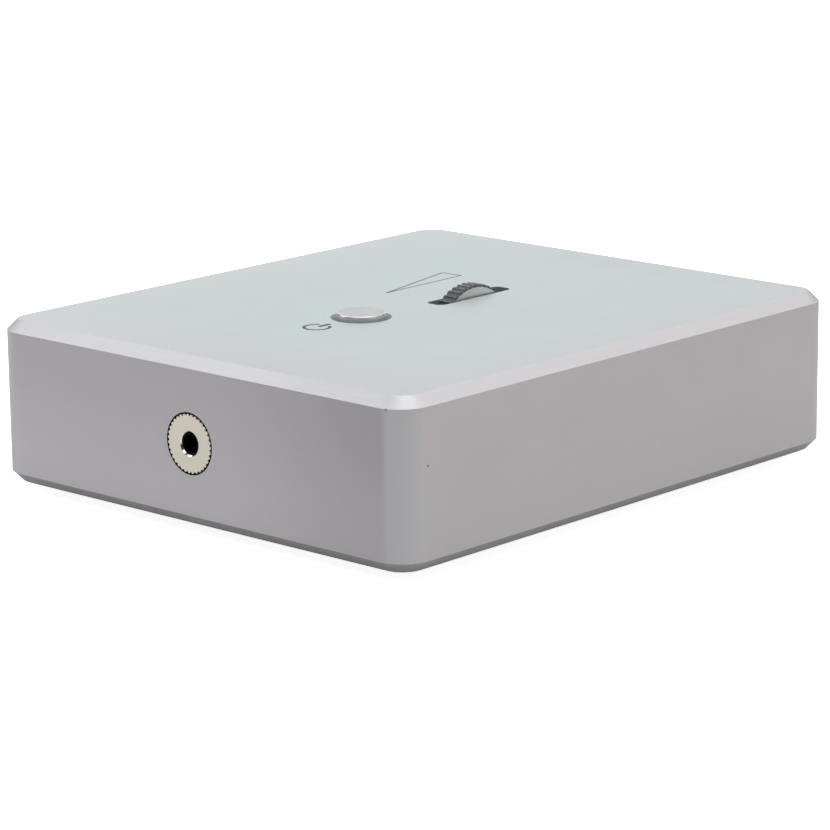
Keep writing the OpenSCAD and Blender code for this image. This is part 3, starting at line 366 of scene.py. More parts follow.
# %% [markdown]
# ### Cutter lines and dust
# A cutter or a rolling mill leaves straight lines. An image of brushed metal could carry them, but a
# noise that is squeezed across the lines and stretched along them has no seams. Dust settles on what
# faces up, and in patches. It could be strewn as thousands of small objects. Small dots in the colour
# do as well here, kept where the surface faces up and where a wide noise is high.

# %% Group: lines left by a cutter or a rolling mill
cutter_lines, given, result = new_group(
    "cutter_lines", {"Stretch": (VECTOR, (20.0, 8000.0, 8000.0))}, ("Height",))
squeezed = calc_vector(cutter_lines, "MULTIPLY", own_place(cutter_lines), given["Stretch"])
cutter_lines.links.new(noise(cutter_lines, squeezed, 1.0, detail=2.0), result["Height"])

# %% Group: dust that has settled
DUST_PATCHES = 300.0
DOT_EDGE, DOT_FULL = 0.16, 0.05

dust, given, result = new_group("dust", {"Size": (FLOAT, 0.5 * MM), "Amount": (FLOAT, 0.3)}, ("Mask",))
position = own_place(dust)
speck = add(dust, "TexVoronoi", {
    "Vector": position, "Scale": one_over(dust, given["Size"]), "Randomness": 1.0})
dots = between(dust, speck.outputs["Distance"], DOT_EDGE, DOT_FULL)
facing = add(dust, "SeparateXYZ", {0: add(dust, "NewGeometry").outputs["Normal"]}).outputs["Z"]
upward = between(dust, facing, 0.3, 0.9)
patches = between(dust, noise(dust, position, DUST_PATCHES, detail=3.0), 0.5, 0.7)
dust.links.new(both(dust, dots, upward, patches, given["Amount"]), result["Mask"])

# %% [markdown]
# ## A material with a shader
# Real edges are never quite sharp, so they catch a thin line of light. The meshes could be rounded for
# that, but they are the CAD model's and stay as they are. So every finish starts with the same frame:
# a Principled shader, a bump node for its relief, and a bevel node that rounds the edges for the light
# alone. Numbers that are the same all over a surface are set on the shader's own sockets, and what
# changes over the surface is linked last.

# %% Start and complete a material
def start_material(name, relief_depth, edge_radius=0.0, **shader_values):
    """A material with its shader and its relief, and with rounded edges where a radius is given."""
    material, tree = blank_material(name)
    shader = add(tree, "BsdfPrincipled", {k.replace("_", " "): v for k, v in shader_values.items()})
    add(tree, "OutputMaterial", {"Surface": shader.outputs[0]})
    relief = add(tree, "Bump", {"Distance": relief_depth, "Strength": 1.0})
    if edge_radius:
        rounded = add(tree, "Bevel", {"Radius": edge_radius}, samples=BEVEL_SAMPLES)
        tree.links.new(rounded.outputs[0], relief.inputs["Normal"])
    tree.links.new(relief.outputs[0], shader.inputs["Normal"])
    return material, tree


def only_node(material, kind):
    """The one node of its kind in a material."""
    return next(node for node in material.node_tree.nodes if node.bl_idname == "ShaderNode" + kind)


def complete(material, colour, height, roughness=None):
    """Links to a started material what changes over its surface."""
    shader, relief = only_node(material, "BsdfPrincipled"), only_node(material, "Bump")
    links = material.node_tree.links
    links.new(colour, shader.inputs["Base Color"])
    links.new(height, relief.inputs["Height"])
    if roughness is not None:
        links.new(roughness, shader.inputs["Roughness"])
    print("finish", material.name, "has", len(material.node_tree.nodes), "nodes")


# %% [markdown]
# ## The housing: painted shade where it is cut open
# Little light reaches the dish round the button, the walls of the slot and the walls of the jack's
# counterbore, so their shade is painted into the colour as darker tones. Faces with materials of their
# own could show that, but the CAD mesh stays as it is. So masks find these walls by their place, and the
# places come from the boxes of the pieces that stand in the openings.

# %% Places of the openings
def middle(node):
    """Middle of a CAD piece's box."""
    low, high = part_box(node)
    return (low + high) / 2


BACK, UP, SIDE = (0, 1, 0), (0, 0, 1), (1, 0, 0)
TOP_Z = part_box("housing")[1].z
FRONT_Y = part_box("housing")[0].y
BUTTON_AXIS = middle("power_button_cap")
JACK_AXIS = middle("headphone_ring_nut")
WHEEL_AXIS = middle("volume_wheel")
DISH_RADIUS = 5.8 * MM
COUNTERBORE_RADIUS = 5.75 * MM
SLOT_HALF_WIDTH = 2.5 * MM
SLOT_HALF_LENGTH = 10.8 * MM
print("top is", round(TOP_Z / MM, 2), "mm up, front is", round(-FRONT_Y / MM, 2), "mm before the middle")

# %% Masks of the openings
WALL_FADE = (0.01 * MM, 0.05 * MM)  # how deep below a face a mask begins, and where it is full
RIM_FADE = (0.06 * MM, 0.02 * MM)  # the same for how far beyond an opening's edge


def surface(tree):
    """The x, y and z of a place on a piece, and of the direction that its surface faces."""
    place = add(tree, "SeparateXYZ", {0: own_place(tree)}).outputs
    normal = add(tree, "SeparateXYZ", {0: add(tree, "NewGeometry").outputs["Normal"]}).outputs
    return place, normal


def inside(tree, distance, limit):
    """A mask for what lies nearer than a limit."""
    return between(tree, distance, *(limit + beyond for beyond in RIM_FADE))


def opening_shade_masks(tree, place):
    """Masks of the housing's dish, of its slot's walls and of its counterbore's walls, where shade is
    painted.
    """
    below_top = between(tree, place["Z"], *(TOP_Z - depth for depth in WALL_FADE))
    behind_front = between(tree, place["Y"], *(FRONT_Y + depth for depth in WALL_FADE))
    round_button = use(tree, round_axis, centre=BUTTON_AXIS, axis=UP)["Distance"]
    round_jack = use(tree, round_axis, centre=JACK_AXIS, axis=BACK)["Distance"]
    beside_wheel = calc(tree, "ABSOLUTE", calc(tree, "SUBTRACT", place["X"], WHEEL_AXIS.x))
    along_wheel = calc(tree, "ABSOLUTE", calc(tree, "SUBTRACT", place["Y"], WHEEL_AXIS.y))
    dish = both(tree, inside(tree, round_button, DISH_RADIUS), below_top)
    slot = both(tree, inside(tree, beside_wheel, SLOT_HALF_WIDTH),
                inside(tree, along_wheel, SLOT_HALF_LENGTH), below_top)
    counterbore = both(tree, inside(tree, round_jack, COUNTERBORE_RADIUS), behind_front)
    return dish, slot, counterbore


# %% [markdown]
# ## The housing: painted light and shade on its faces
# The light does not fall evenly on the box, and some of that is painted into its colour. The front is
# painted a little lighter low down and darker towards its right end. The top is painted a touch cooler
# in the middle than along its edges, as a painted reflection, and the edges are paler at the left end.
# The flat walls are painted a touch warmer than the top and than the upright corners, which get a faint
# painted shade. A large noise would be uneven too, but nobody could say where. A few smooth slopes can
# be set one by one.

# %% The front and the upright corners
# painted light: the front is lighter low down and darker towards its right end
FRONT_LIGHT_FROM, FRONT_LIGHT_TO = 30 * MM, 2 * MM  # heights
FRONT_UPPER, FRONT_LOW_LIGHTER = 0.90, 0.16
FRONT_END_FROM, FRONT_END_TO = 5 * MM, 50 * MM  # widths, counted from the middle
FRONT_END_DARKER = 0.17
FACES_FORWARD = (-0.5, -0.95)
TURNS_A_CORNER = (0.05, 0.35)
CORNER_SHADE = 0.97


def upright_corners(tree, walls, normal):
    """A mask of the rounded corners between the walls, which face two ways at once."""
    two_ways = calc(tree, "ABSOLUTE", calc(tree, "MULTIPLY", normal["X"], normal["Y"]))
    return both(tree, walls, between(tree, two_ways, *TURNS_A_CORNER))


def painted_wall_light(tree, place, normal, corners):
    """What to multiply the colour by: painted light in slopes on the front, painted shade on the corners, 1
    elsewhere.
    """
    lower = between(tree, place["Z"], FRONT_LIGHT_FROM, FRONT_LIGHT_TO,
                    FRONT_UPPER, FRONT_UPPER + FRONT_LOW_LIGHTER)
    to_end = between(tree, place["X"], FRONT_END_FROM, FRONT_END_TO, 1.0, 1.0 - FRONT_END_DARKER)
    change = calc(tree, "SUBTRACT", calc(tree, "MULTIPLY", lower, to_end), 1.0)
    flat = calc(tree, "SUBTRACT", 1.0, corners)
    front = both(tree, between(tree, normal["Y"], *FACES_FORWARD), flat)
    shade = between(tree, corners, 0.0, 1.0, 1.0, CORNER_SHADE)
    return both(tree, calc(tree, "MULTIPLY_ADD", front, change, 1.0), shade)


# %% The top and its edges
BAND_INNER, BAND_OUTER = 20 * MM, -1 * MM  # distances from the nearest side
BAND_LEFT_END, BAND_RIGHT_END = -45 * MM, 5 * MM
FACES_UP = (0.95, 0.99)
# tints of painted reflection on the top and of painted light on the walls
COOL_MIDDLE, BAND_LEFT, BAND_RIGHT = (0.91, 0.995, 0.995), (1.0, 1.01, 1.02), (0.93, 0.94, 0.965)
WARM_WALLS = (1.0, 0.96, 0.97)


def top_reflection_bands(tree, place, normal):
    """Masks of the top's middle, and of the left and right ends of the band along its edges, for tints of
    painted reflection.
    """
    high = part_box("housing")[1]
    from_side = calc(tree, "SUBTRACT", high.x, calc(tree, "ABSOLUTE", place["X"]))
    from_end = calc(tree, "SUBTRACT", high.y, calc(tree, "ABSOLUTE", place["Y"]))
    nearest = calc(tree, "MINIMUM", from_side, from_end)
    top = between(tree, normal["Z"], *FACES_UP)
    band = between(tree, nearest, BAND_INNER, BAND_OUTER)
    to_right = between(tree, place["X"], BAND_LEFT_END, BAND_RIGHT_END)
    to_left = calc(tree, "SUBTRACT", 1.0, to_right)
    middle_part = calc(tree, "SUBTRACT", 1.0, band)
    return both(tree, top, middle_part), both(tree, top, band, to_left), both(tree, top, band, to_right)


# %% [markdown]
# ### Two small knocks
# The box has been handled: there is a nick in the upper edge near the front corner, and a dark
# scratch on the side. They could be cut into the mesh, but it stays as it is, and at this size a dark
# spot of the right place and radius looks the same.

# %% Small marks
MARKS = [((47.8, -64.5, 30.85), 0.46), ((52.0, -58.5, 20.7), 0.3)]  # place and radius in millimetres
MARK_CORE = 0.4  # the share of the radius that is fully dark


def marks(tree):
    """A mask of all the small marks."""
    total = 0.0
    position = own_place(tree)
    for (x, y, z), radius in MARKS:
        reach = calc_vector(tree, "DISTANCE", position, (x * MM, y * MM, z * MM))
        spot = between(tree, reach, radius * MM, MARK_CORE * radius * MM)
        total = calc(tree, "MAXIMUM", total, spot)
    return total


print("small marks:", len(MARKS))

# %% [markdown]
# ## The housing: blasted and anodised aluminium
# The block is milled, its faces are blasted with glass beads, and then it is anodised clear. That
# leaves a matte skin with a very fine grain and faint clouds. The chamfer is cut again after
# blasting, so it shows fine lines and is a little brighter. It could be given a material of its own,
# but a mask made from the surface's own direction finds it too: its normal points halfway up.

# %% Colours and directions of the shell
SKIN_DARK, SKIN_LIGHT = grey(0.572, 0.004), grey(0.590, -0.008)
CUT_DARK, CUT_LIGHT = grey(0.62), grey(0.72)
# faces that look down get a darker colour as painted shade
UNDERSIDE_SHADE = grey(0.38, 0.01)
WORN_SKIN, SETTLED_DUST, KNOCKED = grey(0.85), grey(0.8, 0.03), grey(0.12)
# painted shade for the dish, the slot's walls and the counterbore's walls
DISH_SHADE, SLOT_SHADE, COUNTERBORE_SHADE = grey(0.36, -0.02), (0.33, 0.38, 0.39, 1), grey(0.012)
SKIN_ROUGHNESS = (0.52, 0.54)
SKIN_WEAR = 0.35
CHAMFER_SMOOTHER = 0.05
CHAMFER_STARTS, CHAMFER_STOPS = (0.3, 0.5), (0.95, 0.8)  # how far up a face looks: 0 level, 1 straight up
FACES_DOWN, FACES_LEVEL = (-0.3, -0.6), (0.5, 0.3)


# %% Anodised shell
def make_anodised_shell():
    material, tree = start_material(
        "anodised_shell", relief_depth=0.012 * MM, edge_radius=0.12 * MM, Metallic=0.35)
    skin = use(tree, grain, size=0.16 * MM, cloud_size=18 * MM)
    wear = use(tree, worn_edges, width=0.18 * MM, break_size=3 * MM)["Mask"]
    lines = use(tree, cutter_lines, stretch=(60.0, 60.0, 9000.0))["Height"]
    specks = use(tree, dust, size=0.45 * MM, amount=0.25)["Mask"]
    place, normal = surface(tree)
    tilt = normal["Z"]
    chamfer = both(tree, between(tree, tilt, *CHAMFER_STARTS), between(tree, tilt, *CHAMFER_STOPS))
    colour = blend_colours(tree, chamfer, blend_colours(tree, skin["Cloud"], SKIN_DARK, SKIN_LIGHT),
                           blend_colours(tree, lines, CUT_DARK, CUT_LIGHT))
    # painted shade on faces that look down
    colour = blend_colours(tree, between(tree, tilt, *FACES_DOWN), colour, UNDERSIDE_SHADE)
    colour = blend_colours(tree, calc(tree, "MULTIPLY", wear, SKIN_WEAR), colour, WORN_SKIN)
    colour = blend_colours(tree, specks, colour, SETTLED_DUST)
    walls = between(tree, calc(tree, "ABSOLUTE", tilt), *FACES_LEVEL)
    corners = upright_corners(tree, walls, normal)
    # painted reflection tints on the top and its edge band, and painted warm light on the flat walls
    parts = (*top_reflection_bands(tree, place, normal), calc(tree, "SUBTRACT", walls, corners))
    for mask, tint in zip(parts, (COOL_MIDDLE, BAND_LEFT, BAND_RIGHT, WARM_WALLS)):
        colour = blend_colours(tree, mask, colour, calc_vector(tree, "MULTIPLY", colour, tint))
    # painted light and shade on the front and the upright corners
    colour = scaled(tree, colour, painted_wall_light(tree, place, normal, corners))
    colour = blend_colours(tree, marks(tree), colour, KNOCKED)
    # painted shade in the openings
    for mask, wall in zip(opening_shade_masks(tree, place), (DISH_SHADE, SLOT_SHADE, COUNTERBORE_SHADE)):
        colour = blend_colours(tree, mask, colour, wall)
    blasted = between(tree, skin["Cloud"], 0.0, 1.0, *SKIN_ROUGHNESS)
    roughness = calc(tree, "SUBTRACT", blasted, calc(tree, "MULTIPLY", chamfer, CHAMFER_SMOOTHER))
    height = calc(tree, "ADD", skin["Height"], calc(tree, "MULTIPLY", lines, chamfer))
    complete(material, colour, height, roughness)


make_anodised_shell()

# %% [markdown]
# ## The plates: rolled and anodised sheet
# The base plate and the rear panel are cut from rolled sheet. The mill's lines still show through the
# anodising, and the edges are worn bright. The shell's finish could serve here as well, but sheet is
# shinier and its lines run one way only, so it gets a finish of its own.

# %% Anodised plates
SHEET_DARK, SHEET_LIGHT, SHEET_EDGE = grey(0.48), grey(0.54), grey(0.8)
SHEET_ROUGHNESS = (0.38, 0.5)
EDGE_WEAR = 0.5  # how far a worn metal edge goes to its bright tone


def make_anodised_panel():
    material, tree = start_material(
        "anodised_panel", relief_depth=0.008 * MM, edge_radius=0.1 * MM, Metallic=0.8)
    skin = use(tree, grain, size=0.2 * MM, cloud_size=10 * MM)
    lines = use(tree, cutter_lines, stretch=(15.0, 5000.0, 5000.0))["Height"]
    wear = use(tree, worn_edges, width=0.2 * MM, break_size=2 * MM)["Mask"]
    colour = blend_colours(tree, skin["Cloud"], SHEET_DARK, SHEET_LIGHT)
    colour = blend_colours(tree, calc(tree, "MULTIPLY", wear, EDGE_WEAR), colour, SHEET_EDGE)
    roughness = between(tree, lines, 0.3, 0.7, *SHEET_ROUGHNESS)
    complete(material, colour, calc(tree, "ADD", skin["Height"], lines), roughness)


make_anodised_panel()

# %% [markdown]
# ## Turned metal: ring nut, button and wheel
# These pieces come off a lathe. Their flat ends carry rings round the axis, and their edges are
# polished by handling. Each could have a graph of its own. One function makes them all instead,
# because they differ only in tone, plating and axis, and in the few parts of each that look different.

# %% Turned metal
RING_PITCH = 0.14 * MM


def turned_metal(name, dark, light, roughness, centre, axis, parts, metallic=1.0, edge_radius=0.08 * MM):
    """A turned finish. The function parts gives masks, each with its own colour and roughness."""
    material, tree = start_material(
        name, relief_depth=0.006 * MM, edge_radius=edge_radius, Metallic=metallic)
    skin = use(tree, grain, size=0.12 * MM, cloud_size=3 * MM)
    rings = use(tree, lathe_rings, centre=centre, axis=axis, pitch=RING_PITCH)["Height"]
    wear = use(tree, worn_edges, width=0.12 * MM, break_size=1 * MM)["Mask"]
    shade = calc(tree, "ADD", calc(tree, "MULTIPLY", skin["Cloud"], 0.5), calc(tree, "MULTIPLY", rings, 0.5))
    colour = blend_colours(tree, shade, dark, light)
    colour = blend_colours(tree, calc(tree, "MULTIPLY", wear, EDGE_WEAR), colour, paler(light, 1.35))
    gloss = between(tree, shade, 0.2, 0.8, roughness - 0.05, roughness + 0.06)
    for mask, other_colour, other_roughness in parts(tree, wear):
        colour = blend_colours(tree, mask, colour, other_colour)
        change = calc(tree, "MULTIPLY", mask, calc(tree, "SUBTRACT", other_roughness, gloss))
        gloss = calc(tree, "ADD", gloss, change)
    complete(material, colour, calc(tree, "MULTIPLY_ADD", skin["Height"], 0.4, rings), gloss)
    return material


# %% [markdown]
# ### Ring nut
# A nickel-plated nut with fine teeth round its rim holds the jack, level with the front. The notches
# between its teeth and the outer tips of the teeth are painted almost black as shade, and its mouth has
# a polished lip. An image could be laid over it, but the distance from the axis finds the teeth and the
# lip exactly.

# %% Nickel of the ring nut
MOUTH_RADIUS = 2.15 * MM
LIP_FULL, LIP_ENDS = MOUTH_RADIUS + 0.2 * MM, MOUTH_RADIUS + 0.32 * MM
TOOTH_ROOT_RADIUS, ROOT_FADE = 5.08 * MM, 0.2 * MM
TOOTH_TIP_RADIUS, TIP_FADE = 5.50 * MM, 0.12 * MM
NOTCH_DEPTHS = (0.05 * MM, 0.3 * MM)  # how deep the notches begin to darken, and where they are dark
NICKEL_DARK, NICKEL_LIGHT = (0.685, 0.645, 0.545, 1), (0.79, 0.745, 0.635, 1)


def ring_nut_parts(tree, _wear):
    place = use(tree, round_axis, centre=JACK_AXIS, axis=BACK)
    depth = calc(tree, "SUBTRACT", place["Along"], FRONT_Y - JACK_AXIS.y)
    notches = both(tree, between(tree, place["Distance"], TOOTH_ROOT_RADIUS - ROOT_FADE, TOOTH_ROOT_RADIUS),
                   between(tree, depth, *NOTCH_DEPTHS))
    tips = between(tree, place["Distance"], TOOTH_TIP_RADIUS - TIP_FADE, TOOTH_TIP_RADIUS)
    lip = between(tree, place["Distance"], LIP_ENDS, LIP_FULL)
    # painted shade: the notches and the teeth's outer tips are near black
    return [(notches, grey(0.01), 0.6), (tips, grey(0.03), 0.5), (lip, (0.80, 0.78, 0.73, 1), 0.2)]


turned_metal("nickel", NICKEL_DARK, NICKEL_LIGHT, 0.42, JACK_AXIS, BACK, ring_nut_parts)

# %% [markdown]
# ### Button cap
# The cap's flat end is satin, its rounded edge is polished by the finger and carries a painted
# highlight, and its wall darkens in the hole with painted shade. The shade in the hole could be tied to
# the housing, but the cap moves when it is pressed. So the wall is measured down from the cap's own top,
# and the shade travels with it.

# %% Metal of the button
CAP_TOP_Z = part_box("power_button_cap")[1].z
CAP_ROUND = 0.4 * MM
CAP_WORN_ROUND = 0.35 * MM  # how round the finger has worn the edge, for the light
POLISH_STARTS = 0.04 * MM
WALL_STARTS = 1.3 * CAP_ROUND
WALL_DARKENS, WALL_DARK = 0.5 * MM, 1.2 * MM
SATIN_DARK, SATIN_LIGHT = (0.42, 0.405, 0.41, 1), (0.47, 0.455, 0.46, 1)


def button_parts(tree, _wear):
    place = use(tree, round_axis, centre=BUTTON_AXIS, axis=UP)
    height = calc(tree, "ADD", place["Along"], BUTTON_AXIS.z - CAP_TOP_Z)
    edge = both(tree, between(tree, height, 0.0, -POLISH_STARTS),
                between(tree, height, -WALL_STARTS, -CAP_ROUND))
    wall = between(tree, height, -CAP_ROUND, -WALL_STARTS)
    deep = between(tree, height, -WALL_DARKENS, -WALL_DARK)
    # the polished edge is partly a painted highlight, and the deep wall is painted shade
    return [(edge, grey(0.75), 0.27),
            (wall, (0.68, 0.74, 0.73, 1), 0.38),
            (deep, (0.50, 0.55, 0.54, 1), 0.42)]


turned_metal("button_metal", SATIN_DARK, SATIN_LIGHT, 0.40, BUTTON_AXIS, UP, button_parts,
             metallic=0.7, edge_radius=CAP_WORN_ROUND)

# %% [markdown]
# ### Volume wheel
# The wheel's side is brushed. Its rim is cut, and all of it is coloured dark as painted shade for the
# deep flutes; only the worn tops of the lands are lighter. Brushed lines could be drawn, but from this
# far they are too fine to be seen.
# What is seen is how they stretch a highlight, so the shader's own tangent does that.

# %% Metal of the wheel
WHEEL_RADIUS = 10.5 * MM
FLUTE_ROOT_RADIUS = 10.05 * MM
LAND_FADE = (0.12 * MM, 0.02 * MM)  # how far short of a radius a mask begins, and where it is full
BRUSHED_DARK, BRUSHED_LIGHT = (0.83, 0.84, 0.81, 1), (0.92, 0.93, 0.90, 1)
BRUSH_STRENGTH = 0.85
BRUSH_SLANT = -45  # degrees between the brushed lines and true circles


def beyond(tree, distance, limit):
    """A mask for what lies at a limit or further out."""
    return between(tree, distance, *(limit - short for short in LAND_FADE))


def wheel_parts(tree, wear):
    distance = use(tree, round_axis, centre=WHEEL_AXIS, axis=SIDE)["Distance"]
    rim = beyond(tree, distance, FLUTE_ROOT_RADIUS)
    land = both(tree, beyond(tree, distance, WHEEL_RADIUS), wear)
    # painted shade: the whole rim is dark, and only the worn tops of the lands are lighter
    return [(rim, (0.103, 0.110, 0.110, 1), 0.38), (land, grey(0.60), 0.3)]


def brush_round(material, centre, axis, strength, slant):
    """Stretches a material's highlights across lines that run round an axis, at a slant in degrees."""
    tree = material.node_tree
    arm = calc_vector(tree, "SUBTRACT", add(tree, "NewGeometry").outputs["Position"], centre)
    ring = calc_vector(tree, "CROSS_PRODUCT", axis, arm)
    round_part = scaled(tree, ring, math.cos(math.radians(slant)))
    outward_part = scaled(tree, arm, math.sin(math.radians(slant)))
    tangent = calc_vector(tree, "NORMALIZE", calc_vector(tree, "ADD", round_part, outward_part))
    shader = only_node(material, "BsdfPrincipled")
    tree.links.new(tangent, shader.inputs["Tangent"])
    shader.inputs["Anisotropic"].default_value = strength


wheel_metal = turned_metal(
    "wheel_metal", BRUSHED_DARK, BRUSHED_LIGHT, 0.40, WHEEL_AXIS, SIDE, wheel_parts, metallic=0.8)
brush_round(wheel_metal, WHEEL_AXIS, SIDE, BRUSH_STRENGTH, BRUSH_SLANT)

# %% [markdown]
# ## Plated and plain small metal
# The sockets and the ground post are plated with gold. Small nuts, pins and terminals are bright
# steel, the spacers are bare brass, and the screws are blackened. Each metal could have a graph of its
# own, as the housing has. But these pieces are small and smooth, so a faint grain and bright edges are
# enough, and one function turns every row of a table into a metal.

# %% Small metal
PLATED = {
    # name: (dark tone, light tone, roughness)
    "gold_plate": ((0.80, 0.58, 0.22, 1), (0.92, 0.70, 0.32, 1), 0.18),
    "bright_steel": (grey(0.58), grey(0.68), 0.28),
    "spring_steel": (grey(0.45), grey(0.58), 0.3),
    "spacer_brass": ((0.62, 0.47, 0.20, 1), (0.74, 0.58, 0.28, 1), 0.3),
    "black_screw": (grey(0.02), grey(0.045), 0.42),
}


def plated(name, dark, light, roughness):
    material, tree = start_material(name, relief_depth=0.003 * MM, edge_radius=0.06 * MM, Metallic=1.0)
    skin = use(tree, grain, size=0.1 * MM, cloud_size=1.5 * MM)
    wear = use(tree, worn_edges, width=0.1 * MM, break_size=0.8 * MM)["Mask"]
    colour = blend_colours(tree, skin["Cloud"], dark, light)
    colour = blend_colours(tree, calc(tree, "MULTIPLY", wear, EDGE_WEAR), colour, paler(light, 1.3))
    gloss = between(tree, skin["Cloud"], 0, 1, roughness - 0.04, roughness + 0.06)
    complete(material, colour, skin["Height"], gloss)


for name, values in PLATED.items():
    plated(name, *values)

# %% [markdown]
# ## Moulded plastic and rubber
# A moulding takes the texture of its tool: a fine grain with a soft sheen, slightly paler where hands
# and tools rub its edges. Rubber is the same with a coarser grain, more roughness and dust. Each
# plastic could have its own graph, but they are one family. So a table gives the tones and roughness
# of each, and after them only what differs from the usual moulding.

# %% Moulded plastic
MOULDED = {
    # name: (dark tone, light tone, roughness, what differs from the usual)
    "black_mould": (grey(0.010), grey(0.018), 0.45, {}),
    "jack_black": (grey(0.003), grey(0.006), 0.7, {"dust_amount": 0.0, "shine": 0.08}),
    "white_mould": ((0.72, 0.70, 0.65, 1), (0.80, 0.78, 0.73, 1), 0.35, {}),
    "red_mould": ((0.42, 0.012, 0.016, 1), (0.52, 0.02, 0.025, 1), 0.35, {}),
    "plunger_mould": ((0.66, 0.65, 0.6, 1), (0.74, 0.72, 0.67, 1), 0.38, {}),
    "foot_rubber": (grey(0.012), grey(0.022), 0.75,
                    {"grain_size": 0.5 * MM, "relief_depth": 0.03 * MM, "dust_amount": 0.5}),
    "pot_case": ((0.015, 0.035, 0.075, 1), (0.022, 0.05, 0.1, 1), 0.4, {}),
    "chip_black": (grey(0.012), grey(0.02), 0.6, {"grain_size": 0.12 * MM}),
    "film_red": ((0.32, 0.014, 0.012, 1), (0.42, 0.024, 0.02, 1), 0.3, {"grain_size": 0.6 * MM}),
    "sleeve_blue": ((0.008, 0.018, 0.05, 1), (0.014, 0.028, 0.07, 1), 0.25, {}),
    "relay_case": ((0.6, 0.57, 0.5, 1), (0.7, 0.67, 0.6, 1), 0.35, {}),
    "ferrite": (grey(0.018, 0.1), grey(0.03, 0.1), 0.65, {"grain_size": 0.3 * MM}),
    "resistor_blue": ((0.10, 0.2, 0.32, 1), (0.14, 0.26, 0.4, 1), 0.3, {}),
    "circuit_board": ((0.008, 0.06, 0.026, 1), (0.014, 0.09, 0.04, 1), 0.3, {}),
}
PLASTIC_WEAR = 0.4
PLASTIC_DUST = grey(0.5, 0.05)


def moulded(name, dark, light, roughness, grain_size=0.25 * MM, relief_depth=0.012 * MM,
            dust_amount=0.2, shine=0.5):
    material, tree = start_material(name, relief_depth, edge_radius=0.1 * MM, Specular_IOR_Level=shine)
    skin = use(tree, grain, size=grain_size, cloud_size=4 * MM)
    wear = use(tree, worn_edges, width=0.15 * MM, break_size=1.2 * MM)["Mask"]
    specks = use(tree, dust, size=0.4 * MM, amount=dust_amount)["Mask"]
    colour = blend_colours(tree, skin["Cloud"], dark, light)
    colour = blend_colours(tree, calc(tree, "MULTIPLY", wear, PLASTIC_WEAR), colour, paler(light, 1.25, 0.02))
    colour = blend_colours(tree, specks, colour, PLASTIC_DUST)
    gloss = between(tree, skin["Height"], 0.3, 0.7, roughness - 0.06, roughness + 0.06)
    complete(material, colour, skin["Height"], gloss)


for name, (dark, light, roughness, differences) in MOULDED.items():
    moulded(name, dark, light, roughness, **differences)

# %% [markdown]
# ## Hand the finishes out
# Each piece of the assembly has one finish, and it could be named here piece by piece. But the packed
# record already says which slot each piece belongs to, and each slot has a material of the same name
# above. So a loop is enough. Only the sleeve inside the jack gets a deeper black than its slot's,
# because hardly any light comes back out of the hole.

# %% Assign the materials
slot_of = {part["node"]: part["material_slot"] for part in frame["record"]["subparts"]}
for name, piece in NODES.items():
    piece.data.materials.clear()
    piece.data.materials.append(bpy.data.materials[slot_of[name]])
NODES["headphone_jack_sleeve"].data.materials[0] = bpy.data.materials["jack_black"]
print("finishes in use:", len(set(slot_of.values())) + 1)

# %% [markdown]
# ## Printed signs
# Two signs are printed on the top: the common power sign in front of the button, and a wedge beside
# the wheel that widens towards the back, where the sound is louder. Print has almost no thickness. A
# texture could carry it, but a very thin ribbon of ink keeps its edges sharp at any size.

# %% Ink
INK_THICKNESS = 0.02 * MM


def make_ink(name, dark, light):
    material, tree = start_material(name, relief_depth=0.004 * MM, Roughness=0.55)
    skin = use(tree, grain, size=0.15 * MM, cloud_size=0.8 * MM)
    complete(material, blend_colours(tree, skin["Cloud"], dark, light), skin["Height"])
    return material


dark_ink = make_ink("dark_ink", grey(0.012), grey(0.03))
grey_ink = make_ink("grey_ink", grey(0.15), grey(0.21))

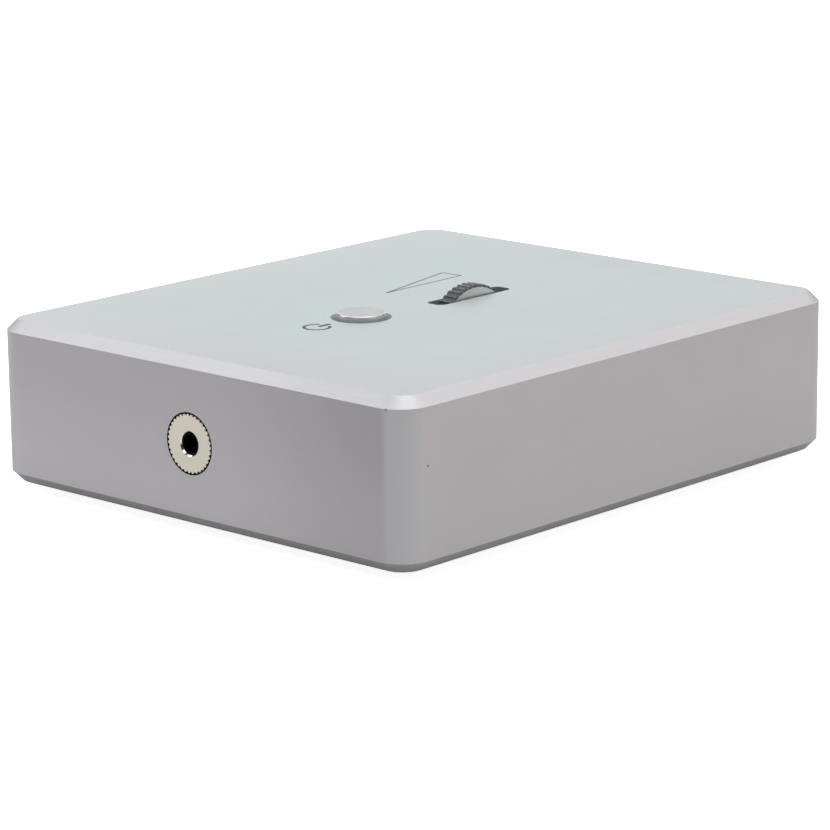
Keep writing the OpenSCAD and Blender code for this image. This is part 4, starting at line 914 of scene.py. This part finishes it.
# %% Lay a flat ribbon of ink on the top
def ribbon(name, outlines, material):
    """A thin plate with the given closed outlines, each a list of (x, y) in millimetres."""
    vertices, faces = [], []
    for outline in outlines:
        first, count = len(vertices), len(outline)
        for z in (TOP_Z, TOP_Z + INK_THICKNESS):
            vertices += [(x * MM, y * MM, z) for x, y in outline]
        faces.append([first + count + i for i in range(count)])
        faces.append([first + i for i in reversed(range(count))])
        for i in range(count):
            j = (i + 1) % count
            faces.append([first + i, first + j, first + count + j, first + count + i])
    mesh = bpy.data.meshes.new(name)
    mesh.from_pydata(vertices, [], faces)
    mesh.materials.append(material)
    piece = bpy.data.objects.new(name, mesh)
    bpy.context.scene.collection.objects.link(piece)
    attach(piece, "root")
    print("ribbon", name, "has", len(faces), "faces")


def stroke(x1, y1, x2, y2, width):
    """Outline of a straight stroke."""
    along = Vector((x2 - x1, y2 - y1)).normalized() * width / 2
    side = Vector((-along.y, along.x))
    return [(x1 + side.x, y1 + side.y), (x1 - side.x, y1 - side.y),
            (x2 - side.x, y2 - side.y), (x2 + side.x, y2 + side.y)]


# %% Power sign
SIGN_PLACE = (0.0, -31.5)
SIGN_RADIUS = 2.4
SIGN_STROKE = 0.6
SIGN_BAR = (0.0, -31.0, 0.0, -28.0)
SIGN_BAR_WIDTH = 0.9
SIGN_GAP_DEGREES = 32
SIGN_STEPS = 64


def arc_strips(centre, radius, width, start, end, steps):
    """An arc of ink as quads that meet."""
    strips = []
    for i in range(steps):
        angles = [math.radians(start + (end - start) * k / steps) for k in (i, i + 1)]
        corners = [(radius - width / 2, angles[0]), (radius + width / 2, angles[0]),
                   (radius + width / 2, angles[1]), (radius - width / 2, angles[1])]
        strips.append([(centre[0] + r * math.cos(a), centre[1] + r * math.sin(a)) for r, a in corners])
    return strips


sign_ring = arc_strips(
    SIGN_PLACE, SIGN_RADIUS, SIGN_STROKE, 90 + SIGN_GAP_DEGREES, 450 - SIGN_GAP_DEGREES, SIGN_STEPS)
ribbon("power_sign", sign_ring + [stroke(*SIGN_BAR, SIGN_BAR_WIDTH)], dark_ink)

# %% Volume wedge
WEDGE_STROKE = 0.46
WEDGE_CORNERS = [(-11.3, -0.5), (-11.4, 20.95), (-16.15, 20.7)]

wedge_sides = zip(WEDGE_CORNERS, WEDGE_CORNERS[1:] + WEDGE_CORNERS[:1])
wedge_strokes = [stroke(*start, *end, WEDGE_STROKE) for start, end in wedge_sides]
ribbon("volume_wedge", wedge_strokes, grey_ink)
print("ink lies", round((TOP_Z + INK_THICKNESS) * 1000, 3), "mm above the table")
